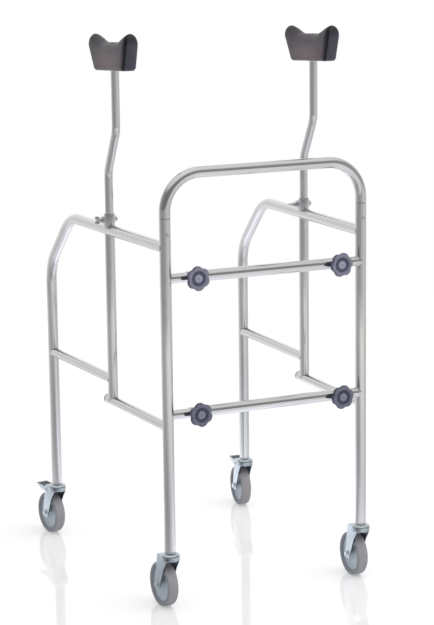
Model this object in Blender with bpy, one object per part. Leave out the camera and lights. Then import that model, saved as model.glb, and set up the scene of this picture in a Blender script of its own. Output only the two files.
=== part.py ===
"""Underarm walker: a chromed tube frame on four swivel castors, with two sliding underarm rests.

Metres, +Z up. The front of the walker faces -Y, and left is -X, as seen from the front.
The origin is on the floor, under the middle of the whole object.
"""

import math

import bmesh
import bpy
from mathutils import Vector

MM = 0.001

# Frame, between tube centre lines
FRONT_SPACING = 478 * MM
REAR_SPACING = 514 * MM
FRAME_LENGTH = 640 * MM
TOP_BAR_HEIGHT = 967 * MM
TOP_BEND_RADIUS = 82 * MM
UPPER_BAR_HEIGHT = 741 * MM
LOWER_BAR_HEIGHT = 440 * MM
LOWER_BAR_SHIFT = 2.5 * MM
SIDE_RAIL_HEIGHT = 809 * MM
MID_RAIL_HEIGHT = 463 * MM
LOW_RAIL_HEIGHT = 413 * MM
REAR_CORNER_CUT = 129 * MM
REAR_BEND_RADIUS = 105 * MM
POST_SETBACK = 289 * MM
LOW_RAIL_OVERHANG = 26 * MM
PLUG_SHANK = 12 * MM
PLUG_CAP = 4 * MM
PLUG_EDGE = 1 * MM

# Tubes
FRAME_TUBE = 25 * MM
RAIL_TUBE = 22 * MM
CRUTCH_TUBE = 19 * MM
TUBE_WALL = 1.2 * MM
TUBE_SIDES = 12

# Gaps between neighbours
SEAT_GAP = 0.3 * MM
SLIDE_GAP = 0.35 * MM

# Top bar's plug-in ends and their spring buttons
SEAM_HEIGHT = 872 * MM
SPIGOT_LENGTH = 60 * MM
SPIGOT_SWAGE = 6 * MM
BUTTON_DEPTH = 34 * MM
BUTTON_DIAMETER = 8 * MM
BUTTON_PROUD = 2.5 * MM
BUTTON_FLANGE = 10 * MM
BUTTON_LEAF_LENGTH = 32 * MM
BUTTON_LEAF_THICKNESS = 0.8 * MM

# Crossbars, their star knobs and studs
KNOB_INSET = 64 * MM
CROSSBAR_OVERRUN = 14 * MM
STUB_INSERTION = 55 * MM
NUT_BOSS_DIAMETER = 16 * MM
NUT_BOSS_HEIGHT = 6.5 * MM
STUD_DIAMETER = 8 * MM
KNOB_DIAMETER = 55 * MM
KNOB_LOBES = 6
KNOB_LOBE_DEPTH = 4 * MM
KNOB_TURN = {"upper_left": -5, "upper_right": 20, "lower_left": -8, "lower_right": 15}
KNOB_HUB_DIAMETER = 26 * MM
KNOB_HUB_HEIGHT = 3 * MM
KNOB_THICKNESS = 11 * MM
KNOB_EDGE = 2.5 * MM

# Clamp collar and wing screw on top of each side rail
COLLAR_HEIGHT = 25 * MM
COLLAR_WALL = 2 * MM
LUG_WIDTH = 20 * MM
LUG_REACH = 25 * MM
LUG_HEIGHT = 16 * MM
LUG_FOOT_GAP = 1 * MM
COLLAR_SLOT = 3 * MM
CLAMP_SCREW_DIAMETER = 8 * MM
CLAMP_SCREW_SETBACK = 17 * MM
CLAMP_NUT_DIAMETER = 15 * MM
CLAMP_NUT_LENGTH = 15 * MM
CLAMP_SCREW_TIP = 2 * MM
WING_NECK = 4 * MM
WING_LENGTH = 15 * MM
WING_WIDTH = 17 * MM
WING_THICKNESS = 4 * MM
WING_HUB_DIAMETER = 11 * MM
WING_TURN = {"left": 0, "right": 90}

# Underarm rests, at the height shown
CRUTCH_FOOT_HEIGHT = 500 * MM
CRUTCH_BEND_HEIGHT = 943 * MM
CRUTCH_BEND_RISE = 94 * MM
CRUTCH_OFFSET = 50 * MM
CRUTCH_BEND_RADIUS = 65 * MM
BUSH_FLANGE = 6 * MM
BUSH_SHANK = 20 * MM
PAD_HEIGHT = 1171 * MM
PAD_TILT = 3
PAD_WIDTH = 37 * MM
PAD_FOOT_REACH = 71 * MM
PAD_FRONT_REACH = 90 * MM
PAD_REAR_REACH = 103 * MM
PAD_HUMP_HEIGHT = 79 * MM
PAD_DIP_HEIGHT = 63 * MM
PAD_CROWN = 16 * MM
PAD_EDGE = 5 * MM
PAD_PLATE_LENGTH = 130 * MM
PAD_PLATE_WIDTH = 22 * MM
PAD_PLATE_THICKNESS = 3 * MM

# Castors
WHEEL_DIAMETER = 100 * MM
TYRE_WIDTH = 25 * MM
TYRE_DEPTH = 8.5 * MM
TYRE_SHOULDER = 3.5 * MM
WHEEL_FACETS = 20
WEB_THICKNESS = 8 * MM
HUB_DIAMETER = 20 * MM
AXLE_DIAMETER = 8 * MM
AXLE_HEAD_DIAMETER = 13 * MM
AXLE_HEAD_LENGTH = 5 * MM
TRAIL = 34 * MM
FRONT_STEER = math.radians(2)
REAR_STEER = math.radians(7)
FORK_SIDE_GAP = 2 * MM
FORK_PLATE = 2.5 * MM
FORK_BOSS_DIAMETER = 22 * MM
FORK_FRONT_REACH = 13 * MM
FORK_REAR_REACH = 32 * MM
FORK_THROAT_SETBACK = 4 * MM
FORK_THROAT_HEIGHT = 90 * MM
CROWN_DIAMETER = 43.4 * MM
CROWN_CLEARANCE = 13.5 * MM
CROWN_HEIGHT = 15.5 * MM
CROWN_SKIRT = 9.5 * MM
CROWN_WALL = 3 * MM
CROWN_LID = 4.5 * MM
KING_PIN_DIAMETER = 10 * MM
KING_PIN_HEAD_DIAMETER = 20 * MM
KING_PIN_HEAD_HEIGHT = 4 * MM
STEM_COLLAR_HEIGHT = 3.7 * MM
STEM_COLLAR_DIAMETER = 25 * MM
STEM_LENGTH = 42 * MM
PEDAL_SIDE_GAP = 1 * MM
PEDAL_PIN_DIAMETER = 5 * MM
PEDAL_PIN_HEAD_DIAMETER = 9 * MM
PEDAL_PIN_HEAD_LENGTH = 1.5 * MM
PEDAL_PIN_SETBACK = 27 * MM
PEDAL_PIN_HEIGHT = 110 * MM
PEDAL_HUB_RADIUS = 4.2 * MM
PEDAL_SHOE_GAP = 4 * MM
PEDAL_SHOE_END = 57 * MM
PEDAL_REACH = 82 * MM
PEDAL_TOP_HEIGHT = 117 * MM
PEDAL_LIP_HEIGHT = 4 * MM
PEDAL_NECK = 9 * MM

# Worked out from the sizes above
LEG_RADIUS = FRAME_TUBE / 2
LEG_BORE = LEG_RADIUS - TUBE_WALL
RAIL_RADIUS = RAIL_TUBE / 2
CRUTCH_RADIUS = CRUTCH_TUBE / 2
WHEEL_RADIUS = WHEEL_DIAMETER / 2
FACET_STRETCH = 1 / math.cos(math.pi / TUBE_SIDES)
POST_BORE = (CRUTCH_RADIUS + SLIDE_GAP) * FACET_STRETCH
POST_RADIUS = POST_BORE + TUBE_WALL
STUB_RADIUS = LEG_BORE - SEAT_GAP
STUD_RADIUS = STUD_DIAMETER / 2
KNOB_SEAT = LEG_RADIUS + NUT_BOSS_HEIGHT + SEAT_GAP
KNOB_FACE = KNOB_SEAT + KNOB_HUB_HEIGHT + KNOB_THICKNESS
CROWN_FOOT = WHEEL_DIAMETER + CROWN_CLEARANCE
CROWN_TOP = CROWN_FOOT + CROWN_HEIGHT
FORK_INNER = TYRE_WIDTH / 2 + FORK_SIDE_GAP
FORK_OUTER = FORK_INNER + FORK_PLATE
LEG_FOOT = CROWN_TOP + STEM_COLLAR_HEIGHT + 2 * SEAT_GAP
TREAD_HALF = TYRE_WIDTH / 2 - TYRE_SHOULDER
REAR_REACH = (TRAIL + WHEEL_RADIUS) * math.cos(REAR_STEER) + TREAD_HALF * math.sin(REAR_STEER)
FRONT_Y = (KNOB_FACE - FRAME_LENGTH - REAR_REACH) / 2
REAR_Y = FRONT_Y + FRAME_LENGTH
SPLAY = math.atan((REAR_SPACING - FRONT_SPACING) / 2 / FRAME_LENGTH)
SIDE_LENGTH = FRAME_LENGTH / math.cos(SPLAY)
SIGN = {"left": -1, "right": 1}


def clear_scene():
    for old in list(bpy.data.objects):
        bpy.data.objects.remove(old, do_unlink=True)


def material(name, colour, metallic, roughness):
    made = bpy.data.materials.new(name)
    made.use_nodes = True
    shader = made.node_tree.nodes["Principled BSDF"]
    shader.inputs["Base Color"].default_value = (*colour, 1)
    shader.inputs["Metallic"].default_value = metallic
    shader.inputs["Roughness"].default_value = roughness
    return made


def empty(name, parent=None, location=(0, 0, 0), turn=0):
    made = bpy.data.objects.new(name, None)
    bpy.context.collection.objects.link(made)
    made.parent = parent
    made.location = location
    made.rotation_euler.z = turn
    return made


def piece(name, form, finish, parent=None, location=(0, 0, 0), rotation=(0, 0, 0)):
    """Turn a bmesh into a named object with its material."""
    bmesh.ops.recalc_face_normals(form, faces=form.faces)
    mesh = bpy.data.meshes.new(name)
    form.to_mesh(mesh)
    form.free()
    if finish:
        mesh.materials.append(finish)
    mesh.shade_smooth()
    mesh.set_sharp_from_angle(angle=math.radians(35))
    made = bpy.data.objects.new(name, mesh)
    bpy.context.collection.objects.link(made)
    made.parent = parent
    made.location = location
    made.rotation_euler = rotation
    return made


def combine(target, form, operation):
    """Cut a form from the target, or join it on; the form is in the target's own space."""
    tool = piece(target.name + "_tool", form, None, target)
    tool.hide_render = True
    tool.display_type = "WIRE"
    modifier = target.modifiers.new(operation.lower(), "BOOLEAN")
    modifier.object = tool
    modifier.operation = operation
    modifier.solver = "EXACT"


def cut(target, form):
    combine(target, form, "DIFFERENCE")


def join(target, form):
    combine(target, form, "UNION")


def bridge(form, rings, closed):
    """Skin a row of vertex rings with quads."""
    count = len(rings[0])
    pairs = list(zip(rings, rings[1:]))
    if closed:
        pairs.append((rings[-1], rings[0]))
    for low, high in pairs:
        for i in range(count):
            j = (i + 1) % count
            form.faces.new((low[i], low[j], high[j], high[i]))


def swept(stations, side, sides=TUBE_SIDES):
    """A tube or a rod along a flat path.

    Each station is (point, outer radius, inner radius); side is the normal of the path's plane.
    """
    form = bmesh.new()
    side = Vector(side).normalized()
    points = [Vector(station[0]) for station in stations]
    outer_rings = []
    inner_rings = []
    for index, (_, outer, inner) in enumerate(stations):
        before = next((p for p in reversed(points[:index]) if (p - points[index]).length > 1e-6), points[index])
        after = next((p for p in points[index:] if (p - points[index]).length > 1e-6), points[index])
        tangent = (after - before).normalized()
        across = tangent.cross(side)
        angles = [2 * math.pi * (i + 0.5) / sides for i in range(sides)]
        spokes = [side * math.cos(a) + across * math.sin(a) for a in angles]
        outer_rings.append([form.verts.new(points[index] + spoke * outer) for spoke in spokes])
        if inner:
            inner_rings.append([form.verts.new(points[index] + spoke * inner) for spoke in spokes])
    if inner_rings:
        bridge(form, outer_rings + inner_rings[::-1], True)
    else:
        bridge(form, outer_rings, False)
        form.faces.new(outer_rings[0])
        form.faces.new(outer_rings[-1])
    return form


def tube(points, radius, side):
    return swept([(point, radius, radius - TUBE_WALL) for point in points], side)


def rod(start, end, radius, sides=TUBE_SIDES):
    """A solid cylinder between two points."""
    direction = (Vector(end) - Vector(start)).normalized()
    side = Vector((1, 0, 0)) if abs(direction.x) < 0.5 else Vector((0, 0, 1))
    return swept([(start, radius, 0), (end, radius, 0)], side, sides)


def clear_rod(start, end, radius, gap=SEAT_GAP):
    """A cutting cylinder whose flats stay the gap away from a round of the given radius."""
    return rod(start, end, (radius + gap) * FACET_STRETCH)


def rounded_path(corners, radius, steps):
    """The corner points with every inner corner replaced by an arc of the given radius."""
    corners = [Vector(corner) for corner in corners]
    path = [corners[0]]
    for before, corner, after in zip(corners, corners[1:], corners[2:]):
        arrive = (corner - before).normalized()
        leave = (after - corner).normalized()
        angle = arrive.angle(leave)
        reach = radius * math.tan(angle / 2)
        start = corner - arrive * reach
        inward = (leave - arrive * arrive.dot(leave)).normalized()
        centre = start + inward * radius
        for step in range(steps + 1):
            turn = angle * step / steps
            path.append(centre - inward * radius * math.cos(turn) + arrive * radius * math.sin(turn))
    path.append(corners[-1])
    return path


def turned(profile, axis, sides, flat_down=False):
    """Turn a profile of (radius, place) points round the X, Y or Z axis; radius 0 is on the axis."""
    form = bmesh.new()
    phase = 0.5 if flat_down else 0
    rings = []
    for radius, place in profile:
        spots = []
        for i in range(sides if radius else 1):
            angle = 2 * math.pi * (i + phase) / sides
            a = radius * math.sin(angle)
            b = -radius * math.cos(angle)
            spot = {"X": (place, a, b), "Y": (b, place, a), "Z": (a, b, place)}[axis]
            spots.append(form.verts.new(spot))
        rings.append(spots)
    on_axis = profile[0][0] == 0
    pairs = list(zip(rings, rings[1:]))
    if not on_axis:
        pairs.append((rings[-1], rings[0]))
    for low, high in pairs:
        for i in range(sides):
            j = (i + 1) % sides
            corners = [low[i % len(low)], low[j % len(low)], high[j % len(high)], high[i % len(high)]]
            form.faces.new(list(dict.fromkeys(corners)))
    return form


def extruded(outline, start, end, axis):
    """Extrude a flat outline along X (outline in YZ) or along Z (outline in XY)."""
    form = bmesh.new()
    rings = []
    for place in (start, end):
        spots = [(place, a, b) if axis == "X" else (a, b, place) for a, b in outline]
        rings.append([form.verts.new(spot) for spot in spots])
    bridge(form, rings, False)
    form.faces.new(rings[0])
    form.faces.new(rings[1])
    return form


def box(low, high):
    outline = [(low[0], low[1]), (high[0], low[1]), (high[0], high[1]), (low[0], high[1])]
    return extruded(outline, low[2], high[2], "Z")


def front_legs_and_top_bar():
    half = FRONT_SPACING / 2
    spigot_foot = SEAM_HEIGHT - SPIGOT_LENGTH
    button_height = SEAM_HEIGHT - BUTTON_DEPTH
    spigot_bore = STUB_RADIUS - TUBE_WALL
    hole_reach = 2 * LEG_RADIUS

    corners = [(-half, 0, SEAM_HEIGHT), (-half, 0, TOP_BAR_HEIGHT), (half, 0, TOP_BAR_HEIGHT), (half, 0, SEAM_HEIGHT)]
    path = rounded_path(corners, TOP_BEND_RADIUS, 5)
    swage = Vector((0, 0, SPIGOT_SWAGE))
    left_end = [
        ((-half, 0, spigot_foot), STUB_RADIUS, spigot_bore),
        (path[0], STUB_RADIUS, spigot_bore),
        (path[0], LEG_RADIUS, spigot_bore),
        (path[0] + swage, LEG_RADIUS, spigot_bore),
    ]
    right_end = [((-x, y, z), outer, inner) for (x, y, z), outer, inner in reversed(left_end)]
    middle = [(path[0] + swage, LEG_RADIUS, LEG_BORE)]
    middle += [(point, LEG_RADIUS, LEG_BORE) for point in path[1:-1]]
    middle += [(path[-1] + swage, LEG_RADIUS, LEG_BORE)]
    top_bar = piece("top_bar", swept(left_end + middle + right_end, (0, 1, 0)), chrome, None, (0, FRONT_Y, 0))

    for name, sign in SIGN.items():
        x = sign * half
        ends = [(0, 0, LEG_FOOT), (0, 0, SEAM_HEIGHT - SEAT_GAP)]
        leg = piece("front_leg_" + name, tube(ends, LEG_RADIUS, (0, 1, 0)), chrome, None, (x, FRONT_Y, 0))
        for target, place in ((leg, 0), (top_bar, x)):
            start = (place, -hole_reach, button_height)
            end = (place, -BUTTON_FLANGE / 2, button_height)
            cut(target, clear_rod(start, end, BUTTON_DIAMETER / 2))
        snap_button(name, x, button_height, spigot_bore)


def snap_button(name, x, height, spigot_bore):
    """A round button on a flanged spring leaf; its origin is on the tube's axis."""
    flange = BUTTON_FLANGE / 2
    inside = math.sqrt(spigot_bore ** 2 - flange ** 2) - 2 * SEAT_GAP
    face = -LEG_RADIUS - BUTTON_PROUD
    profile = [
        (0, face),
        (BUTTON_DIAMETER / 2 * 0.7, face),
        (BUTTON_DIAMETER / 2, face + BUTTON_PROUD / 2),
        (BUTTON_DIAMETER / 2, -inside),
        (flange, -inside),
        (flange, -inside + BUTTON_LEAF_THICKNESS),
        (0, -inside + BUTTON_LEAF_THICKNESS),
    ]
    location = (x, FRONT_Y, height)
    button = piece("snap_button_" + name, turned(profile, "Y", 12), steel, None, location)
    back = -inside + BUTTON_LEAF_THICKNESS
    half_width = BUTTON_DIAMETER / 2
    low = (-half_width, back - BUTTON_LEAF_THICKNESS / 2, -BUTTON_LEAF_LENGTH)
    high = (half_width, back + BUTTON_LEAF_THICKNESS / 2, half_width)
    join(button, box(low, high))


def crossbars():
    half = FRONT_SPACING / 2
    knob_x = half - KNOB_INSET
    bar_end = knob_x + CROSSBAR_OVERRUN
    boss_face = LEG_RADIUS + NUT_BOSS_HEIGHT
    for level, height, shift in (("upper", UPPER_BAR_HEIGHT, 0), ("lower", LOWER_BAR_HEIGHT, LOWER_BAR_SHIFT)):
        middle = (0, FRONT_Y, height)
        ends = [(-bar_end, 0, 0), (bar_end, 0, 0)]
        bar_place = (shift, FRONT_Y, height)
        bar = piece(level + "_crossbar", tube(ends, LEG_RADIUS, (0, 0, 1)), chrome, None, bar_place)
        for name, sign in SIGN.items():
            x = sign * knob_x
            root = -LEG_RADIUS + TUBE_WALL / 2
            join(bar, rod((x, root, 0), (x, -boss_face, 0), NUT_BOSS_DIAMETER / 2))
            cut(bar, clear_rod((x, -STUB_RADIUS / 2, 0), (x, -boss_face - TUBE_WALL, 0), STUD_RADIUS))

            ends = [(sign * half, 0, 0), (sign * (bar_end - STUB_INSERTION), 0, 0)]
            stub = piece(f"{level}_stub_{name}", tube(ends, STUB_RADIUS, (0, 0, 1)), chrome, None, middle)
            reach = FRAME_TUBE
            cut(stub, clear_rod((sign * half, 0, -reach), (sign * half, 0, reach), LEG_RADIUS))

            turn = math.radians(KNOB_TURN[f"{level}_{name}"])
            star_knob(f"{level}_knob_{name}", (x + shift, FRONT_Y, height), turn)


def star_knob(name, place, turn):
    """A lobed disc with a hub behind it and the stud moulded into the hub; the stud ends just short of the stub."""
    middle = (KNOB_DIAMETER - KNOB_LOBE_DEPTH) / 2
    points = 6 * KNOB_LOBES
    back = KNOB_SEAT + KNOB_HUB_HEIGHT
    levels = [(back, -KNOB_EDGE), (back + KNOB_EDGE, 0), (KNOB_FACE - KNOB_EDGE, 0), (KNOB_FACE, -KNOB_EDGE)]
    form = bmesh.new()
    rings = []
    for depth, grow in levels:
        ring = []
        for i in range(points):
            angle = 2 * math.pi * i / points
            radius = middle + grow + KNOB_LOBE_DEPTH / 2 * math.cos(KNOB_LOBES * angle)
            ring.append(form.verts.new((radius * math.sin(angle), -depth, radius * math.cos(angle))))
        rings.append(ring)
    bridge(form, rings, False)
    form.faces.new(rings[0])
    form.faces.new(rings[-1])
    knob = piece(name, form, knob_plastic, None, place, (0, turn, 0))
    join(knob, rod((0, -KNOB_SEAT, 0), (0, -back - KNOB_EDGE, 0), KNOB_HUB_DIAMETER / 2, 16))
    join(knob, rod((0, -STUB_RADIUS - SEAT_GAP, 0), (0, -back, 0), STUD_RADIUS, 12))


def side_frame(name):
    """Tubes of one side frame, in the space of an empty at the front leg's foot, with +Y along the frame."""
    sign = SIGN[name]
    frame = empty("side_frame_" + name, None, (sign * FRONT_SPACING / 2, FRONT_Y, 0), -sign * SPLAY)
    across = (1, 0, 0)
    leg_reach = FRAME_TUBE

    corners = [
        (0, SIDE_LENGTH, LEG_FOOT),
        (0, SIDE_LENGTH, SIDE_RAIL_HEIGHT - REAR_CORNER_CUT),
        (0, SIDE_LENGTH - REAR_CORNER_CUT, SIDE_RAIL_HEIGHT),
        (0, 0, SIDE_RAIL_HEIGHT),
    ]
    path = rounded_path(corners, REAR_BEND_RADIUS, 3)
    rear_leg = piece("rear_leg_" + name, tube(path, LEG_RADIUS, across), chrome, frame)
    low = SIDE_RAIL_HEIGHT - leg_reach
    high = SIDE_RAIL_HEIGHT + leg_reach
    cut(rear_leg, clear_rod((0, 0, low), (0, 0, high), LEG_RADIUS))
    cut(rear_leg, clear_rod((0, POST_SETBACK, low), (0, POST_SETBACK, high), CRUTCH_RADIUS, SLIDE_GAP))

    ends = [(0, POST_SETBACK, MID_RAIL_HEIGHT), (0, SIDE_LENGTH, MID_RAIL_HEIGHT)]
    mid_rail = piece("mid_rail_" + name, tube(ends, RAIL_RADIUS, across), chrome, frame)
    low = MID_RAIL_HEIGHT - leg_reach
    high = MID_RAIL_HEIGHT + leg_reach
    cut(mid_rail, clear_rod((0, SIDE_LENGTH, low), (0, SIDE_LENGTH, high), LEG_RADIUS))
    cut(mid_rail, clear_rod((0, POST_SETBACK, low), (0, POST_SETBACK, high), POST_RADIUS))

    rail_end = POST_SETBACK + LOW_RAIL_OVERHANG
    ends = [(0, 0, LOW_RAIL_HEIGHT), (0, rail_end, LOW_RAIL_HEIGHT)]
    low_rail = piece("low_rail_" + name, tube(ends, RAIL_RADIUS, across), chrome, frame)
    low = LOW_RAIL_HEIGHT - leg_reach
    high = LOW_RAIL_HEIGHT + leg_reach
    cut(low_rail, clear_rod((0, 0, low), (0, 0, high), LEG_RADIUS))

    ends = [(0, 0, LOW_RAIL_HEIGHT), (0, 0, SIDE_RAIL_HEIGHT)]
    form = swept([(point, POST_RADIUS, POST_BORE) for point in ends], across)
    post = piece("post_" + name, form, chrome, frame, (0, POST_SETBACK, 0))
    reach = 2 * POST_RADIUS
    cut(post, clear_rod((0, -reach, LOW_RAIL_HEIGHT), (0, reach, LOW_RAIL_HEIGHT), RAIL_RADIUS))
    cut(post, clear_rod((0, -reach, SIDE_RAIL_HEIGHT), (0, reach, SIDE_RAIL_HEIGHT), LEG_RADIUS))

    rail_plug(name, frame)
    clamp(name, frame)
    underarm_rest(name, frame)


def rail_plug(name, frame):
    """The end plug of a low rail: a cap on the rail's end and a shank in its bore."""
    shank = RAIL_RADIUS - TUBE_WALL - SEAT_GAP
    stations = [
        ((0, -PLUG_SHANK, 0), shank, 0),
        ((0, SEAT_GAP, 0), shank, 0),
        ((0, SEAT_GAP, 0), RAIL_RADIUS, 0),
        ((0, PLUG_CAP - PLUG_EDGE, 0), RAIL_RADIUS, 0),
        ((0, PLUG_CAP, 0), RAIL_RADIUS - PLUG_EDGE, 0),
    ]
    location = (0, POST_SETBACK + LOW_RAIL_OVERHANG, LOW_RAIL_HEIGHT)
    piece("low_rail_plug_" + name, swept(stations, (1, 0, 0)), dark_plastic, frame, location)


def clamp(name, frame):
    """The split collar on the side rail, round the crutch tube, and the wing screw through its lugs."""
    top = SIDE_RAIL_HEIGHT + LEG_RADIUS + COLLAR_HEIGHT
    radius = POST_BORE + COLLAR_WALL
    body = rod((0, 0, SIDE_RAIL_HEIGHT), (0, 0, top), radius)
    collar = piece("clamp_collar_" + name, body, steel, frame, (0, POST_SETBACK, 0))
    lug_foot = SIDE_RAIL_HEIGHT + LEG_RADIUS + LUG_FOOT_GAP
    join(collar, box((-LUG_WIDTH / 2, 0, lug_foot), (LUG_WIDTH / 2, LUG_REACH, lug_foot + LUG_HEIGHT)))
    screw_height = lug_foot + LUG_HEIGHT / 2
    nut_end = LUG_WIDTH / 2 + CLAMP_NUT_LENGTH
    nut_root = (LUG_WIDTH / 2 - TUBE_WALL, CLAMP_SCREW_SETBACK, screw_height)
    join(collar, rod(nut_root, (nut_end, CLAMP_SCREW_SETBACK, screw_height), CLAMP_NUT_DIAMETER / 2, 6))
    reach = 2 * FRAME_TUBE
    cut(collar, clear_rod((0, -reach, SIDE_RAIL_HEIGHT), (0, reach, SIDE_RAIL_HEIGHT), LEG_RADIUS))
    cut(collar, clear_rod((0, 0, SIDE_RAIL_HEIGHT - reach), (0, 0, top + reach), CRUTCH_RADIUS, SLIDE_GAP))
    cut(collar, box((-COLLAR_SLOT / 2, 0, 0), (COLLAR_SLOT / 2, LUG_REACH + reach, top + reach)))
    start = (-LUG_WIDTH, CLAMP_SCREW_SETBACK, screw_height)
    end = (nut_end + reach, CLAMP_SCREW_SETBACK, screw_height)
    cut(collar, clear_rod(start, end, CLAMP_SCREW_DIAMETER / 2))

    location = (0, POST_SETBACK + CLAMP_SCREW_SETBACK, screw_height)
    axis = empty("clamp_screw_axis_" + name, frame, location)
    wing_root = -LUG_WIDTH / 2 - WING_NECK
    shaft = rod((wing_root, 0, 0), (nut_end + CLAMP_SCREW_TIP, 0, 0), CLAMP_SCREW_DIAMETER / 2, 12)
    turn = math.radians(WING_TURN[name])
    screw = piece("clamp_screw_" + name, shaft, steel, axis, (0, 0, 0), (turn, 0, 0))
    low = (wing_root - WING_LENGTH, -WING_THICKNESS / 2, -WING_WIDTH / 2)
    high = (wing_root, WING_THICKNESS / 2, WING_WIDTH / 2)
    join(screw, box(low, high))
    hub_end = wing_root - WING_LENGTH / 2
    join(screw, rod((hub_end, 0, 0), (wing_root + WING_NECK / 2, 0, 0), WING_HUB_DIAMETER / 2, 12))


def underarm_rest(name, frame):
    """Bush, cranked tube and pad of one rest, on the post's axis; the crank and the pad face straight ahead."""
    slide = empty("crutch_slide_" + name, frame, (0, POST_SETBACK, 0))
    axis = empty("crutch_axis_" + name, slide, (0, 0, 0), SIGN[name] * SPLAY)

    bush_radius = CRUTCH_RADIUS
    shank = (CRUTCH_RADIUS - TUBE_WALL) / FACET_STRETCH - SEAT_GAP
    foot = CRUTCH_FOOT_HEIGHT
    profile = [
        (0, foot - SEAT_GAP - BUSH_FLANGE),
        (bush_radius, foot - SEAT_GAP - BUSH_FLANGE),
        (bush_radius, foot - SEAT_GAP),
        (shank, foot - SEAT_GAP),
        (shank, foot + BUSH_SHANK),
        (0, foot + BUSH_SHANK),
    ]
    piece("crutch_bush_" + name, turned(profile, "Z", TUBE_SIDES), dark_plastic, slide)

    tilt = math.radians(PAD_TILT)
    bend_top = CRUTCH_BEND_HEIGHT + CRUTCH_BEND_RISE
    corners = [
        (0, 0, foot),
        (0, 0, CRUTCH_BEND_HEIGHT),
        (0, -CRUTCH_OFFSET, bend_top),
        (0, -CRUTCH_OFFSET, PAD_HEIGHT + PAD_PLATE_THICKNESS / 2),
    ]
    path = rounded_path(corners, CRUTCH_BEND_RADIUS, 3)
    crutch = piece("crutch_tube_" + name, tube(path, CRUTCH_RADIUS, (1, 0, 0)), chrome, axis)
    plate = pad_slab(PAD_PLATE_LENGTH, PAD_PLATE_WIDTH, 0, PAD_PLATE_THICKNESS)
    for vertex in plate.verts:
        y = vertex.co.y
        vertex.co.y = y * math.cos(tilt) + vertex.co.z * math.sin(tilt) - CRUTCH_OFFSET
        vertex.co.z = vertex.co.z * math.cos(tilt) - y * math.sin(tilt) + PAD_HEIGHT
    join(crutch, plate)

    pad_place = (0, -CRUTCH_OFFSET, PAD_HEIGHT)
    pad = piece("pad_" + name, pad_form(), vinyl, crutch, pad_place, (-tilt, 0, 0))
    length = PAD_PLATE_LENGTH + 2 * SEAT_GAP
    width = PAD_PLATE_WIDTH + 2 * SEAT_GAP
    cut(pad, pad_slab(length, width, -PAD_PLATE_THICKNESS, PAD_PLATE_THICKNESS + SEAT_GAP))


def pad_slab(length, width, low, high):
    return box((-width / 2, -length / 2, low), (width / 2, length / 2, high))


def pad_top(y):
    """Height of the pad's ridge: a dip over the tube and a hump over each end."""
    reach = PAD_REAR_REACH if y > 0 else PAD_FRONT_REACH
    share = min(abs(y) / reach, 1)
    return PAD_DIP_HEIGHT + (PAD_HUMP_HEIGHT - PAD_DIP_HEIGHT) * (1 - math.cos(math.pi * share)) / 2


def pad_form():
    """Rings with round ends, from the flat foot up the flaring sides and over the crowned saddle top."""
    half = PAD_WIDTH / 2
    levels = [(0, PAD_EDGE), (PAD_EDGE, 0), (PAD_CROWN, 0), (PAD_CROWN * 0.35, half * 0.35), (0, half)]
    form = bmesh.new()
    rings = []
    for index, (step, inset) in enumerate(levels):
        over_top = index > 1
        ring = []
        for side, turn in ((1, 0), (-1, math.pi)):
            for i in range(5):
                angle = turn + math.pi * i / 4
                ring.append(pad_point(over_top, step, half - inset, side, angle))
            for i in range(1, 6):
                ring.append(pad_point(over_top, step, half - inset, side * (1 - i / 3), turn + math.pi))
        rings.append([form.verts.new(point) for point in ring])
    bridge(form, rings, False)
    form.faces.new(rings[0])
    bmesh.ops.remove_doubles(form, verts=form.verts, dist=0.1 * MM)
    return form


def pad_point(over_top, step, radius, along, angle):
    """A point of a pad ring; along runs from 1 at the rear end's centre to -1 at the front end's centre."""
    reach = PAD_REAR_REACH if along > 0 else PAD_FRONT_REACH
    height = pad_top(along * reach) - step if over_top else step
    flare = min(height / (PAD_HUMP_HEIGHT - PAD_CROWN), 1)
    centre = along * (PAD_FOOT_REACH + (reach - PAD_FOOT_REACH) * flare)
    return (radius * math.cos(angle), centre + radius * math.sin(angle), height)


def tangent_angle(point, centre, radius, side):
    """Angle on a circle at which a line from the point touches it, on the given side."""
    dy = point[0] - centre[0]
    dz = point[1] - centre[1]
    return math.atan2(dz, dy) + side * math.acos(radius / math.hypot(dy, dz))


def fork_outline():
    """Side view of a fork plate as (y, z): a wide top that narrows to the boss round the axle."""
    centre = (TRAIL, WHEEL_RADIUS)
    radius = FORK_BOSS_DIAMETER / 2
    top = CROWN_FOOT + CROWN_SKIRT
    front = (-FORK_FRONT_REACH, CROWN_FOOT)
    throat = (FORK_THROAT_SETBACK, FORK_THROAT_HEIGHT)
    rear = (FORK_REAR_REACH, top)
    start = tangent_angle(throat, centre, radius, 1)
    end = tangent_angle(rear, centre, radius, -1)
    sweep = (end - start) % (2 * math.pi)
    arc = [start + sweep * step / 6 for step in range(7)]
    boss = [(centre[0] + radius * math.cos(a), centre[1] + radius * math.sin(a)) for a in arc]
    return [(-FORK_FRONT_REACH, top), front, throat] + boss + [rear]


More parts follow.
